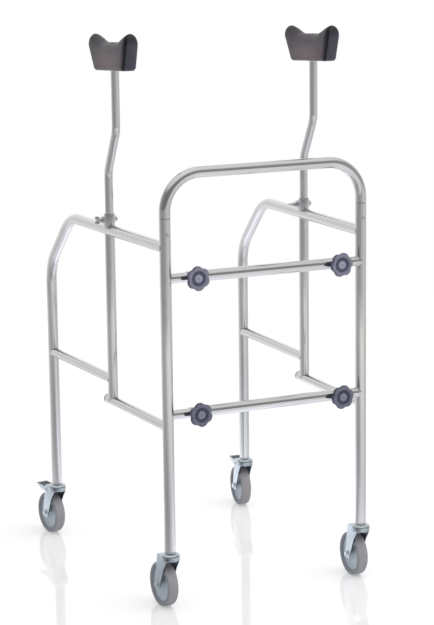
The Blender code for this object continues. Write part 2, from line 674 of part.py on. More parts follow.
def castor(name, place, steer, braked):
    """One swivel castor, in the space of an empty on the floor under its leg; the wheel trails along its +Y."""
    stand = empty("castor_" + name, None, (*place, 0), steer)
    prefix = "castor_" + name

    collar_foot = CROWN_TOP + SEAT_GAP
    pin = KING_PIN_DIAMETER / 2
    head_top = CROWN_TOP - CROWN_LID - SEAT_GAP
    profile = [
        (0, head_top - KING_PIN_HEAD_HEIGHT),
        (KING_PIN_HEAD_DIAMETER / 2, head_top - KING_PIN_HEAD_HEIGHT),
        (KING_PIN_HEAD_DIAMETER / 2, head_top),
        (pin, head_top),
        (pin, collar_foot),
        (STEM_COLLAR_DIAMETER / 2, collar_foot),
        (STEM_COLLAR_DIAMETER / 2, collar_foot + STEM_COLLAR_HEIGHT),
        (LEG_BORE / FACET_STRETCH - SEAT_GAP, collar_foot + STEM_COLLAR_HEIGHT),
        (LEG_BORE / FACET_STRETCH - SEAT_GAP, collar_foot + STEM_COLLAR_HEIGHT + STEM_LENGTH),
        (0, collar_foot + STEM_COLLAR_HEIGHT + STEM_LENGTH),
    ]
    piece(prefix + "_stem", turned(profile, "Z", 12), steel, stand)

    crown = CROWN_DIAMETER / 2
    inside = crown - CROWN_WALL
    bore = (pin + SEAT_GAP) * FACET_STRETCH
    profile = [
        (crown, CROWN_FOOT),
        (crown, CROWN_FOOT + CROWN_SKIRT),
        (crown - CROWN_WALL, CROWN_TOP),
        (bore, CROWN_TOP),
        (bore, CROWN_TOP - CROWN_LID),
        (inside, CROWN_TOP - CROWN_LID),
        (inside, CROWN_FOOT),
    ]
    fork = piece(prefix + "_fork", turned(profile, "Z", 16), zinc, stand)
    for sign in SIGN.values():
        join(fork, extruded(fork_outline(), sign * FORK_INNER, sign * FORK_OUTER, "X"))
    lid_top = CROWN_FOOT + CROWN_SKIRT
    lid_middle = (FORK_INNER + FORK_OUTER) / 2
    join(fork, box((-lid_middle, inside, lid_top - CROWN_WALL), (lid_middle, FORK_REAR_REACH, lid_top)))
    axle_reach = 2 * FORK_OUTER
    start = (-axle_reach, TRAIL, WHEEL_RADIUS)
    cut(fork, clear_rod(start, (axle_reach, TRAIL, WHEEL_RADIUS), AXLE_DIAMETER / 2))

    hub = empty(prefix + "_axle_line", fork, (0, TRAIL, WHEEL_RADIUS))
    wheel_and_tyre(prefix, hub)
    bolt = headed_pin(AXLE_DIAMETER / 2, AXLE_HEAD_DIAMETER / 2, AXLE_HEAD_LENGTH)
    piece(prefix + "_axle", bolt, steel, hub)
    if braked:
        pedal(prefix, fork)


def headed_pin(radius, head_radius, head_length):
    """A pin across the fork along X, with a head against each fork plate."""
    seat = FORK_OUTER + SEAT_GAP
    profile = [
        (0, -seat - head_length),
        (head_radius, -seat - head_length),
        (head_radius, -seat),
        (radius, -seat),
        (radius, seat),
        (head_radius, seat),
        (head_radius, seat + head_length),
        (0, seat + head_length),
    ]
    return turned(profile, "X", 12)


def wheel_and_tyre(prefix, hub):
    """The plastic wheel centre and its rubber tyre, turned round the axle; a flat of the tyre faces down."""
    stretch = 1 / math.cos(math.pi / WHEEL_FACETS)
    rim = WHEEL_RADIUS - TYRE_DEPTH
    rim_half = TYRE_WIDTH / 2 - 2 * MM
    hub_half = FORK_INNER - SEAT_GAP
    hub_radius = HUB_DIAMETER / 2
    bore = (AXLE_DIAMETER / 2 + SEAT_GAP) * FACET_STRETCH
    web = WEB_THICKNESS / 2
    profile = [
        (bore, -hub_half),
        (hub_radius, -hub_half),
        (hub_radius + 1 * MM, -web),
        (rim - 5 * MM, -web),
        (rim, -rim_half),
        (rim, rim_half),
        (rim - 5 * MM, web),
        (hub_radius + 1 * MM, web),
        (hub_radius, hub_half),
        (bore, hub_half),
    ]
    piece(prefix + "_wheel", turned(profile, "X", WHEEL_FACETS, True), wheel_plastic, hub)

    inner = rim + SEAT_GAP
    outer = WHEEL_RADIUS * stretch
    half = TYRE_WIDTH / 2
    profile = [
        (inner, -rim_half),
        (inner + TYRE_SHOULDER / 2, -half),
        (outer - TYRE_SHOULDER / 2, -half),
        (outer, -half + TYRE_SHOULDER),
        (outer, half - TYRE_SHOULDER),
        (outer - TYRE_SHOULDER / 2, half),
        (inner + TYRE_SHOULDER / 2, half),
        (inner, rim_half),
    ]
    piece(prefix + "_tyre", turned(profile, "X", WHEEL_FACETS, True), rubber, hub)


def pedal(prefix, fork):
    """The brake pedal on a cross pin in the fork, its sole just above the tyre and its flat top level."""
    pin_radius = PEDAL_PIN_DIAMETER / 2
    location = (0, PEDAL_PIN_SETBACK, PEDAL_PIN_HEIGHT)
    start = (-2 * FORK_OUTER, PEDAL_PIN_SETBACK, PEDAL_PIN_HEIGHT)
    cut(fork, clear_rod(start, (2 * FORK_OUTER, PEDAL_PIN_SETBACK, PEDAL_PIN_HEIGHT), pin_radius))
    rivet = headed_pin(pin_radius, PEDAL_PIN_HEAD_DIAMETER / 2, PEDAL_PIN_HEAD_LENGTH)
    piece(prefix + "_pedal_pin", rivet, steel, fork, location)

    hub = PEDAL_HUB_RADIUS
    sole = WHEEL_DIAMETER + PEDAL_SHOE_GAP - PEDAL_PIN_HEIGHT
    top = PEDAL_TOP_HEIGHT - PEDAL_PIN_HEIGHT
    shoe_end = PEDAL_SHOE_END - PEDAL_PIN_SETBACK
    end = PEDAL_REACH - PEDAL_PIN_SETBACK
    outline = [
        (-hub, -hub / 2),
        (-hub / 2, -hub),
        (hub, sole),
        (shoe_end, sole),
        (end, top - PEDAL_LIP_HEIGHT),
        (end, top),
        (PEDAL_NECK, top),
        (hub / 2, hub),
        (-hub / 2, hub),
        (-hub, hub / 2),
    ]
    half_width = FORK_INNER - PEDAL_SIDE_GAP
    made = piece(prefix + "_pedal", extruded(outline, -half_width, half_width, "X"), zinc, fork, location)
    cut(made, clear_rod((-2 * half_width, 0, 0), (2 * half_width, 0, 0), pin_radius))


clear_scene()
chrome = material("chrome", (0.80, 0.81, 0.83), 1.0, 0.12)
steel = material("bright_steel", (0.62, 0.63, 0.65), 1.0, 0.30)
zinc = material("zinc_plate", (0.66, 0.70, 0.72), 1.0, 0.28)
knob_plastic = material("knob_plastic", (0.10, 0.10, 0.15), 0.0, 0.45)
dark_plastic = material("dark_plastic", (0.09, 0.09, 0.10), 0.0, 0.50)
wheel_plastic = material("wheel_plastic", (0.46, 0.53, 0.58), 0.0, 0.40)
rubber = material("grey_rubber", (0.24, 0.23, 0.24), 0.0, 0.70)
vinyl = material("pad_vinyl", (0.085, 0.075, 0.085), 0.0, 0.50)

front_legs_and_top_bar()
crossbars()
for side_name, side_sign in SIGN.items():
    side_frame(side_name)
    castor("front_" + side_name, (side_sign * FRONT_SPACING / 2, FRONT_Y), -side_sign * FRONT_STEER, False)
    castor("rear_" + side_name, (side_sign * REAR_SPACING / 2, REAR_Y), -side_sign * REAR_STEER, True)
bpy.context.view_layer.update()
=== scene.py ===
"""Underarm walker, dressed: chromed tube, swivel castors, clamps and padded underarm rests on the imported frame."""

import math

import bmesh
import bpy
from bmesh.types import BMEdge, BMVert
from mathutils import Matrix, Vector


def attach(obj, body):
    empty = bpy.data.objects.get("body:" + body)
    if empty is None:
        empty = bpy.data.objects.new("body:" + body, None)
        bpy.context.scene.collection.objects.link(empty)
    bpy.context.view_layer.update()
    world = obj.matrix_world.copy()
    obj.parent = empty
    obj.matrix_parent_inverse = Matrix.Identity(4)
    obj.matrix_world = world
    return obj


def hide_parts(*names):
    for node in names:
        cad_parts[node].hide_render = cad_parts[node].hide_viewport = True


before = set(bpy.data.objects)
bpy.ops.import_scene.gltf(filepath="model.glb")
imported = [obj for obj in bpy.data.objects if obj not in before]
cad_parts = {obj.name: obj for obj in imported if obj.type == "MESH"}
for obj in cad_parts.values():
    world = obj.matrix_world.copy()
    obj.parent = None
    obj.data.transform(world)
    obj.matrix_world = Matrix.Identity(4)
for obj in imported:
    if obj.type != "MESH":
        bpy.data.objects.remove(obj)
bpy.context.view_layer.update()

MM = 0.001
SIDES = {"left": -1, "right": 1}


# Front uprights: two straight drawn steel tubes, bright chrome plated, that carry the whole front frame.
# Each is cut square, eased at both mouths, and stands on the collar of its castor stem.
UPRIGHT_RADIUS = 12.5 * MM
TUBE_WALL = 1.2 * MM
MOUTH_EASE = 0.5 * MM
FRONT_Y = -345.585 * MM
HALF_FRONT = 239 * MM
UPRIGHT_FOOT = 133.3 * MM
SEAM_HEIGHT = 872 * MM
BEND_STEP = math.radians(5)
ACROSS, REAR, FRONT, UP = (1, 0, 0), (0, 1, 0), (0, -1, 0), (0, 0, 1)


def only(parts, kind):
    """The parts of one kind among those that an operator gives back."""
    return [part for part in parts if isinstance(part, kind)]


def bent_tube(start, heading, side, radius, moves, wall=TUBE_WALL, around=48):
    """Draw a tube from its start mouth: run goes straight, neck changes the radius, bend turns about the side axis."""
    form = bmesh.new()
    point, heading, side = Vector(start), Vector(heading).normalized(), Vector(side).normalized()
    square = heading.to_track_quat("Z", "Y").to_matrix().to_4x4()
    ring = bmesh.ops.create_circle(form, segments=around, radius=radius, matrix=Matrix.Translation(point) @ square)
    edges = list({edge for vert in ring["verts"] for edge in vert.link_edges})
    for move, *amounts in moves:
        if move == "bend":
            bend_radius, angle = amounts
            axis = side if angle > 0 else -side
            centre = point + axis.cross(heading) * bend_radius
            steps = max(3, round(abs(angle) / BEND_STEP))
            swept = bmesh.ops.spin(form, geom=edges, cent=centre, axis=axis, angle=abs(angle), steps=steps)
            edges = only(swept["geom_last"], BMEdge)
            turn = Matrix.Rotation(abs(angle), 3, axis)
            point, heading = centre + turn @ (point - centre), turn @ heading
            continue
        drawn = bmesh.ops.extrude_edge_only(form, edges=edges)["geom"]
        edges = only(drawn, BMEdge)
        mouth = only(drawn, BMVert)
        bmesh.ops.translate(form, verts=mouth, vec=heading * amounts[0])
        point = point + heading * amounts[0]
        if move == "neck":
            share = amounts[1] / (mouth[0].co - point).length
            bmesh.ops.scale(form, verts=mouth, vec=(share,) * 3, space=Matrix.Translation(-point))
    bmesh.ops.recalc_face_normals(form, faces=form.faces)
    bmesh.ops.solidify(form, geom=form.faces[:], thickness=wall)
    return form


def linear(colour):
    """The linear value of an sRGB hex colour."""
    shares = [int(colour[i:i + 2], 16) / 255 for i in (1, 3, 5)]
    return (*[s / 12.92 if s <= 0.04045 else ((s + 0.055) / 1.055) ** 2.4 for s in shares], 1)


def add_node(tree, kind, settings=None, links=None, **options):
    """Add one node with its options, input values and links; a linked node stands for its first output in use."""
    node = tree.nodes.new("ShaderNode" + kind)
    for option, value in options.items():
        setattr(node, option, value)
    for socket, value in (settings or {}).items():
        node.inputs[socket].default_value = value
    for socket, source in (links or {}).items():
        if isinstance(source, bpy.types.Node):
            source = next(output for output in source.outputs if output.enabled)
        tree.links.new(source, node.inputs[socket])
    return node


def new_finish(name, slot, metallic):
    """A material, its node tree and the place on the piece that its patterns start from."""
    made = bpy.data.materials.new(name)
    made.use_nodes = True
    made["slot"] = slot
    tree = made.node_tree
    tree.nodes["Principled BSDF"].inputs["Metallic"].default_value = metallic
    return made, tree, add_node(tree, "TexCoord").outputs["Object"]


def surfaced(tree, tone, pattern, roughness, relief, strength, depth):
    """Give a finish its tone, a roughness that follows a pattern from its low to its high value, and a fine relief."""
    span = {"From Min": 0.3, "From Max": 0.7, "To Min": roughness[0], "To Max": roughness[1]}
    gloss = add_node(tree, "MapRange", span, {"Value": pattern})
    bump = add_node(tree, "Bump", {"Strength": strength, "Distance": depth}, {"Height": relief})
    shader = tree.nodes["Principled BSDF"]
    tree.links.new(tone.outputs[2], shader.inputs["Base Color"])
    tree.links.new(gloss.outputs["Result"], shader.inputs["Roughness"])
    tree.links.new(bump.outputs["Normal"], shader.inputs["Normal"])


# Bright decorative chrome over nickel on drawn steel tube: a mirror with a faint haze.
# Clouds of handling haze are about 60 mm wide; the drawn tube's waviness, about 4 mm, shows only as a soft ripple.
chrome, tree, place = new_finish("bright_chrome_plate", "chrome", 1.0)
haze = add_node(tree, "TexNoise", {"Scale": 16, "Detail": 4, "Roughness": 0.6}, {"Vector": place})
plate = add_node(tree, "Mix", {6: linear("#D6D5D6"), 7: linear("#DEDDDD")}, {0: haze}, data_type="RGBA")
rub = add_node(tree, "TexNoise", {"Scale": 220, "Detail": 3}, {"Vector": place})
blurred = add_node(tree, "Mix", {0: 0.35}, {2: haze, 3: rub})
ripple = add_node(tree, "TexNoise", {"Scale": 250, "Detail": 1}, {"Vector": place})
surfaced(tree, plate, blurred, (0.06, 0.17), ripple, 0.1, 0.05 * MM)


SHARP_ANGLE = math.radians(40)


def meshed(name, form):
    """Turn a form into a mesh and free it."""
    mesh = bpy.data.meshes.new(name)
    form.to_mesh(mesh)
    form.free()
    return mesh


def shown(name, data):
    """An object in the scene, at the origin."""
    made = bpy.data.objects.new(name, data)
    bpy.context.scene.collection.objects.link(made)
    return made


def marked(mesh, marks):
    """Keep the strength of each mark on a mesh, vertex by vertex, as attributes that its finish reads."""
    for attribute, values in marks.items():
        mesh.attributes.new(attribute, "FLOAT", "POINT").data.foreach_set("value", values)


def finished(name, form, finish, body, nodes, place=Matrix.Identity(4), marks=None):
    """Set a form in its place with its finish and marks, and let it ride on its body in the stead of its CAD nodes."""
    bmesh.ops.transform(form, matrix=place, verts=form.verts)
    mesh = meshed(name, form)
    mesh.shade_smooth()
    mesh.set_sharp_from_angle(angle=SHARP_ANGLE)
    mesh.materials.append(finish)
    made = shown(name, mesh)
    marked(mesh, marks or {})
    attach(made, body)
    if nodes:
        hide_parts(*nodes)


for name, sign in SIDES.items():
    length = SEAM_HEIGHT - 0.3 * MM - UPRIGHT_FOOT
    moves = [
        ("neck", MOUTH_EASE, UPRIGHT_RADIUS),
        ("run", length - 2 * MOUTH_EASE),
        ("neck", MOUTH_EASE, UPRIGHT_RADIUS - MOUTH_EASE),
    ]
    form = bent_tube((sign * HALF_FRONT, FRONT_Y, UPRIGHT_FOOT), UP, REAR, UPRIGHT_RADIUS - MOUTH_EASE, moves)
    finished(f"front_upright_{name}", form, chrome, "frame", [f"front_leg_{name}"])


# Top bar: one chromed tube, bent down at both ends, which serves as the hand rail of the front frame.
# Its ends are swaged down and plug into the front uprights; a shallow groove shows where they meet.
SPIGOT_RADIUS = 11 * MM
SPIGOT_LENGTH = 60 * MM
SWAGE = 1.2 * MM
TOP_BAR_HEIGHT = 967 * MM
TOP_BEND = 82 * MM

leg_run = TOP_BAR_HEIGHT - TOP_BEND - SEAM_HEIGHT - SWAGE
moves = [
    ("run", SPIGOT_LENGTH),
    ("neck", SWAGE, UPRIGHT_RADIUS),
    ("run", leg_run),
    ("bend", TOP_BEND, math.pi / 2),
    ("run", 2 * (HALF_FRONT - TOP_BEND)),
    ("bend", TOP_BEND, math.pi / 2),
    ("run", leg_run),
    ("neck", SWAGE, SPIGOT_RADIUS),
    ("run", SPIGOT_LENGTH),
]
start = (-HALF_FRONT, FRONT_Y, SEAM_HEIGHT - SPIGOT_LENGTH)
form = bent_tube(start, UP, REAR, SPIGOT_RADIUS, moves)
finished("hand_rail_tube", form, chrome, "frame", ["top_bar"])


# Spring buttons: domed steel pegs on a leaf spring inside the tube, which snap out through a punched hole.
# The hole's rolled rim lies on the tube's round; pressing the button in frees the top bar.
BUTTON_HEIGHT = 838 * MM
BUTTON_RADIUS = 4 * MM
BUTTON_PROUD = 2.5 * MM
BUTTON_RIM = 0.5 * MM
LEAF_WIDTH, LEAF_LENGTH, LEAF_THICKNESS = 8 * MM, 36 * MM, 0.8 * MM
LEAF_FACE = 7.6 * MM

# Bright nickel plate on turned and pressed steel: slightly warm and softer than chrome.
# Fine turning marks, about 0.3 mm apart, are drawn as 1 mm noise so that they show.
steel, tree, place = new_finish("nickel_plated_steel", "bright_steel", 1.0)
tarnish = add_node(tree, "TexNoise", {"Scale": 90, "Detail": 5}, {"Vector": place})
plate = add_node(tree, "Mix", {6: linear("#CBCDD0"), 7: linear("#E6E7E8")}, {0: tarnish}, data_type="RGBA")
marks = add_node(tree, "TexNoise", {"Scale": 1000, "Detail": 2}, {"Vector": place})
surfaced(tree, plate, tarnish, (0.3, 0.46), marks, 0.25, 0.05 * MM)


def in_mm(points, reach=0.0, height=0.0):
    """Profile points that are written in millimetres from a reach and a height, in metres."""
    return [(reach + out * MM, height + up * MM) for out, up in points]


def turned(profile, steps=64, form=None, place=Matrix.Identity(4)):
    """Turn a profile of (radius, height) points round the Z axis, then set it in its place."""
    fresh = bmesh.new()
    points = [fresh.verts.new((radius, 0, height)) for radius, height in profile]
    lines = [fresh.edges.new(pair) for pair in zip(points, points[1:])]
    bmesh.ops.spin(fresh, geom=points + lines, cent=(0, 0, 0), axis=UP, angle=2 * math.pi, steps=steps, use_merge=True)
    bmesh.ops.remove_doubles(fresh, verts=fresh.verts, dist=0.001 * MM)
    bmesh.ops.recalc_face_normals(fresh, faces=fresh.faces)
    return added(form, fresh, place)


def added(form, fresh, place=Matrix.Identity(4)):
    """Put a fresh form in its place and, if there is one, into the form that it belongs to."""
    bmesh.ops.transform(fresh, matrix=place, verts=fresh.verts)
    if form is None:
        return fresh
    carried = meshed("carried", fresh)
    form.from_mesh(carried)
    bpy.data.meshes.remove(carried)
    return form


def rounded(form, parts, width, segments, affect="EDGES"):
    """Round some edges or corners of a form."""
    bmesh.ops.bevel(
        form, geom=parts, offset=width, segments=segments, profile=0.5, affect=affect, clamp_overlap=True, material=-1,
    )


def eased(form, width, segments=3, angle=30):
    """Round every edge that is sharper than the angle."""
    bmesh.ops.recalc_face_normals(form, faces=form.faces)
    edges = [edge for edge in form.edges if edge.is_manifold and edge.calc_face_angle() > math.radians(angle)]
    rounded(form, edges, width, segments)
    return form


def block(low, high, ease, form=None, place=Matrix.Identity(4)):
    """A box between two corners with rounded edges."""
    fresh = bmesh.new()
    low, high = Vector(low), Vector(high)
    size = Matrix.Diagonal((*(high - low), 1))
    bmesh.ops.create_cube(fresh, size=1, matrix=Matrix.Translation((low + high) / 2) @ size)
    return added(form, eased(fresh, ease), place)


# How many ripples a weld bead has round a foot.
WELD_BEATS = 24


def bead(radius, across_radius, thickness, form=None, place=Matrix.Identity(4), ripple=0.0):
    """A ring round the Z axis, laid on the round of a tube that runs along Y through the origin."""
    fresh = bmesh.new()
    section = Matrix.Translation((radius, 0, 0)) @ Matrix.Rotation(math.pi / 2, 4, "X")
    ring = bmesh.ops.create_circle(fresh, segments=10, radius=thickness, matrix=section)
    edges = list({edge for vert in ring["verts"] for edge in vert.link_edges})
    bmesh.ops.spin(fresh, geom=edges, cent=(0, 0, 0), axis=UP, angle=2 * math.pi, steps=72, use_merge=True)
    bmesh.ops.remove_doubles(fresh, verts=fresh.verts, dist=0.001 * MM)
    bmesh.ops.recalc_face_normals(fresh, faces=fresh.faces)
    for vert in fresh.verts:
        x, y, _ = vert.co
        swell = 1 + ripple * math.sin(WELD_BEATS * math.atan2(y, x))
        vert.co.z = vert.co.z * swell + math.sqrt(max(across_radius ** 2 - x * x, 0))
    return added(form, fresh, place)


def facing(origin, outward, along):
    """The place at the origin whose Z points outward and whose Y runs along."""
    z_axis, y_axis = Vector(outward).normalized(), Vector(along).normalized()
    turn = Matrix((y_axis.cross(z_axis), y_axis, z_axis)).transposed()
    return Matrix.Translation(origin) @ turn.to_4x4()


for name, sign in SIDES.items():
    place = facing((sign * HALF_FRONT, FRONT_Y, BUTTON_HEIGHT), FRONT, UP)
    face = UPRIGHT_RADIUS + BUTTON_PROUD
    profile = in_mm([(0, 0), (1.4, -0.1), (2.6, -0.5), (3.4, -1.1)], 0, face) + [(BUTTON_RADIUS, face - 2 * MM)]
    profile += [(BUTTON_RADIUS, 8.2 * MM)] + in_mm([(4.9, 8.2), (4.9, 7.5), (0, 7.5)])
    form = turned(profile, 40)
    low = (-LEAF_WIDTH / 2, -LEAF_LENGTH + LEAF_WIDTH / 2, LEAF_FACE - LEAF_THICKNESS)
    block(low, (LEAF_WIDTH / 2, LEAF_WIDTH / 2, LEAF_FACE), 0.2 * MM, form)
    finished(f"spring_button_{name}", form, steel, f"snap_button_{name}", [f"snap_button_{name}"], place)
    rim = bead(BUTTON_RADIUS + 0.8 * MM, UPRIGHT_RADIUS, BUTTON_RIM)
    finished(f"button_hole_rim_{name}", rim, chrome, "frame", [], place)


# Crossbars: two chromed tubes across the front, each with two welded nut bosses that take the knobs' studs.
# They slide over stub tubes that are welded to the uprights, so that the frame's width can be set.
CROSSBAR_PLACES = {"upper": (0, 741 * MM), "lower": (2.5 * MM, 440 * MM)}
KNOB_X = 175 * MM
CROSSBAR_HALF = 189 * MM
STUB_INNER_END = 134 * MM
STUB_RADIUS = 11 * MM
BOSS_RADIUS = 8 * MM
BOSS_FOOT = 11.4 * MM
BOSS_FACE = 19 * MM
WELD = 1.5 * MM
WELD_RIPPLE = 0.12


def weld(form, radius, across_radius, place):
    """A rippled bead of weld round a foot, on the round of the tube that it stands on."""
    bead(radius, across_radius, WELD, form, place, WELD_RIPPLE)


for level, (shift, height) in CROSSBAR_PLACES.items():
    moves = [
        ("neck", MOUTH_EASE, UPRIGHT_RADIUS),
        ("run", 2 * (CROSSBAR_HALF - MOUTH_EASE)),
        ("neck", MOUTH_EASE, UPRIGHT_RADIUS - MOUTH_EASE),
    ]
    start = (shift - CROSSBAR_HALF, FRONT_Y, height)
    form = bent_tube(start, ACROSS, UP, UPRIGHT_RADIUS - MOUTH_EASE, moves)
    for name, sign in SIDES.items():
        on_bar = facing((shift + sign * KNOB_X, FRONT_Y, height), FRONT, ACROSS)
        profile = [(0, BOSS_FOOT), (BOSS_RADIUS, BOSS_FOOT)]
        profile += in_mm([(0, -0.8), (-0.8, 0)], BOSS_RADIUS, BOSS_FACE) + [(0, BOSS_FACE)]
        turned(profile, 40, form, on_bar)
        weld(form, BOSS_RADIUS, UPRIGHT_RADIUS, on_bar)
        stub_length = HALF_FRONT - STUB_INNER_END
        start = (sign * STUB_INNER_END, FRONT_Y, height)
        stub = bent_tube(start, (sign, 0, 0), UP, STUB_RADIUS, [("run", stub_length)])
        out_of_leg = facing((sign * HALF_FRONT, FRONT_Y, height), (-sign, 0, 0), UP)
        weld(stub, STUB_RADIUS, UPRIGHT_RADIUS, out_of_leg)
        finished(f"{level}_stub_tube_{name}", stub, chrome, "frame", [f"{level}_stub_{name}"])
    finished(f"{level}_cross_tube", form, chrome, "frame", [f"{level}_crossbar"])


# Star knobs: moulded blue-grey plastic, six soft lobes round a dished face with a pale plug over the stud's head.
# A threaded steel stud moulded into each hub passes through the boss and presses on the stub tube.
KNOB_SEAT = 19.3 * MM
KNOB_BACK = 22.3 * MM
KNOB_FACE = 33.3 * MM
KNOB_RADIUS = 25.5 * MM
KNOB_LOBES = 6
LOBE_SWING = 1.6 * MM
DISH_RADIUS = 17.4 * MM
DISH_DEPTH = 5 * MM
CAP_RADIUS = 8.8 * MM
STUD_RADIUS = 4 * MM
THREAD_PITCH = 1.25 * MM
# How far each knob was left turned, clockwise from the front, and how much darker it is painted as shade; the lower
# knobs are painted darker as shade.
KNOB_TURNS = {"upper_left": -5, "upper_right": 20, "lower_left": -8, "lower_right": 15}
KNOB_PAINTED_SHADE = {"upper": 0.0, "lower": 0.34}


def threaded(radius, low, high):
    """The profile of a threaded length as rings one pitch apart, from its low end to its high end."""
    turns = max(1, round((high - low) / THREAD_PITCH))
    pitch = (high - low) / turns
    root = radius - 0.6 * MM
    profile = []
    for turn in range(turns):
        foot = low + turn * pitch
        profile += [(root, foot), (radius, foot + 0.35 * pitch), (radius, foot + 0.6 * pitch)]
    return profile + [(root, high)]


# Moulded nylon, blue-grey: a satin face with a fine spark-eroded grain and a paler plug; the dish is painted darker,
# partly its own tone and partly shade, and the side wall is painted dark as shade.
# The real grain is about 0.1 mm and is drawn as 0.7 mm noise, so that it shows at all.
knob_plastic, tree, place = new_finish("moulded_blue_grey_nylon", "knob_plastic", 0.0)
cloud = add_node(tree, "TexNoise", {"Scale": 60, "Detail": 4}, {"Vector": place})
tone = add_node(tree, "Attribute", attribute_name="paleness")
patchy = add_node(tree, "Math", {1: 0.16, 2: -0.08}, {0: cloud}, operation="MULTIPLY_ADD")
tone = add_node(tree, "Math", None, {0: tone.outputs["Fac"], 1: patchy}, operation="ADD")
dye = add_node(tree, "Mix", {6: linear("#3E4058"), 7: linear("#B4B4CA")}, {0: tone}, data_type="RGBA")
grain = add_node(tree, "TexNoise", {"Scale": 1400, "Detail": 2}, {"Vector": place})
surfaced(tree, dye, grain, (0.36, 0.5), grain, 0.3, 0.1 * MM)


def knob_paleness_with_painted_shade(reach, height):
    """How pale the plastic is at a distance from the knob's axis: plug, dish, face ring, side wall; the dish's dark is
    partly painted shade, and the dark of the side wall and back is painted shade.
    """
    if height < KNOB_FACE - DISH_DEPTH - 0.5 * MM or (reach > 24 * MM and height < KNOB_FACE - 1.5 * MM):
        return 0.1
    if reach < CAP_RADIUS + 0.3 * MM:
        return 0.3 if reach < 1.2 * MM else 0.85
    return 0.2 if reach < DISH_RADIUS - 1.2 * MM else 0.52


DISH_FLOOR = KNOB_FACE - DISH_DEPTH
for level, (shift, height) in CROSSBAR_PLACES.items():
    for name, sign in SIDES.items():
        turn = math.radians(KNOB_TURNS[f"{level}_{name}"])
        front = facing((shift + sign * KNOB_X, FRONT_Y, height), FRONT, (math.sin(turn), 0, math.cos(turn)))
        profile = in_mm([(12, 0), (13, 0.8)], 0, KNOB_SEAT)
        profile += in_mm([(13, 0), (20, 0), (23.4, 0.5), (25, 2)], 0, KNOB_BACK)
        profile += [(KNOB_RADIUS, KNOB_BACK + 4 * MM), (KNOB_RADIUS, KNOB_FACE - 4 * MM)]
        profile += in_mm([(24.9, -1.9), (23.2, -0.5), (21.5, 0)], 0, KNOB_FACE)
        profile += in_mm([(0.8, 0), (0, -0.6)], DISH_RADIUS, KNOB_FACE)
        profile += in_mm([(-0.8, 0.8), (-1.6, 0)], DISH_RADIUS, DISH_FLOOR)
        profile += in_mm([(1.6, 0), (0.8, 0.6)], CAP_RADIUS, DISH_FLOOR)
        profile += in_mm([(0, -1.4), (-0.8, -0.6)], CAP_RADIUS, KNOB_FACE)
        profile += in_mm([(6, -0.3), (1.6, -0.3), (1.1, -1.1), (0, -1.3)], 0, KNOB_FACE)
        form = turned(profile, 144)
        back = [edge for edge in form.edges if edge.is_boundary]
        bmesh.ops.contextual_create(form, geom=back)
        tones = []
        for vert in form.verts:
            reach = math.hypot(vert.co.x, vert.co.y)
            tones.append(knob_paleness_with_painted_shade(reach, vert.co.z) * (1 - KNOB_PAINTED_SHADE[level]))
            lobe = min(max((reach - DISH_RADIUS) / (KNOB_RADIUS - DISH_RADIUS), 0), 1)
            valley = (1 - math.cos(KNOB_LOBES * math.atan2(vert.co.x, vert.co.y))) / 2
            swing = LOBE_SWING * (1 - 2 * valley ** 1.8) * lobe
            if reach > 0:
                vert.co.xy *= (reach + swing) / reach
        bmesh.ops.recalc_face_normals(form, faces=form.faces)
        body = f"{level}_knob_{name}"
        finished(f"{level}_star_knob_{name}", form, knob_plastic, body, [body], front, {"paleness": tones})
        end = STUB_RADIUS + 0.3 * MM
        root = KNOB_SEAT + 1 * MM
        profile = [(0, end), (2.9 * MM, end)] + threaded(STUD_RADIUS, end + 0.5 * MM, root) + [(0, root)]
        stud = turned(profile, 32)
        finished(f"{level}_knob_stud_{name}", stud, steel, body, [], front)


# Side frames: chromed tubes in one flat plane each, splayed a little towards the rear.
# One tube makes the rear upright and the top rail; straight rails and a guide post are welded between the uprights.
SIDE_LENGTH = 640.253 * MM
SPLAY = math.radians(1.6110)
SIDE_RAIL_HEIGHT = 809 * MM
CORNER_CUT = 129 * MM
CORNER_BEND = 105 * MM
POST_SETBACK = 289 * MM
POST_RADIUS = 11.4 * MM
RAIL_RADIUS = 11 * MM
MIDDLE_RAIL_HEIGHT = 463 * MM
BOTTOM_RAIL_HEIGHT = 413 * MM
BOTTOM_RAIL_OVERHANG = 26 * MM
# How far a coped mouth reaches into the round of the tube that it is welded to.
COPE = 0.6 * MM

side_place = {
    name: Matrix.Translation((sign * HALF_FRONT, FRONT_Y, 0)) @ Matrix.Rotation(-sign * SPLAY, 4, "Z")
    for name, sign in SIDES.items()
}


def coped(form, axis, level, reach):
    """Cut the mouth that ends at a level of an axis back to the round of the tube it meets, on the reach's side."""
    for vert in form.verts:
        if abs(vert.co[axis] - level) < 0.01 * MM:
            vert.co[axis] += math.copysign(math.sqrt(max(reach ** 2 - vert.co.x ** 2, 0)), reach)


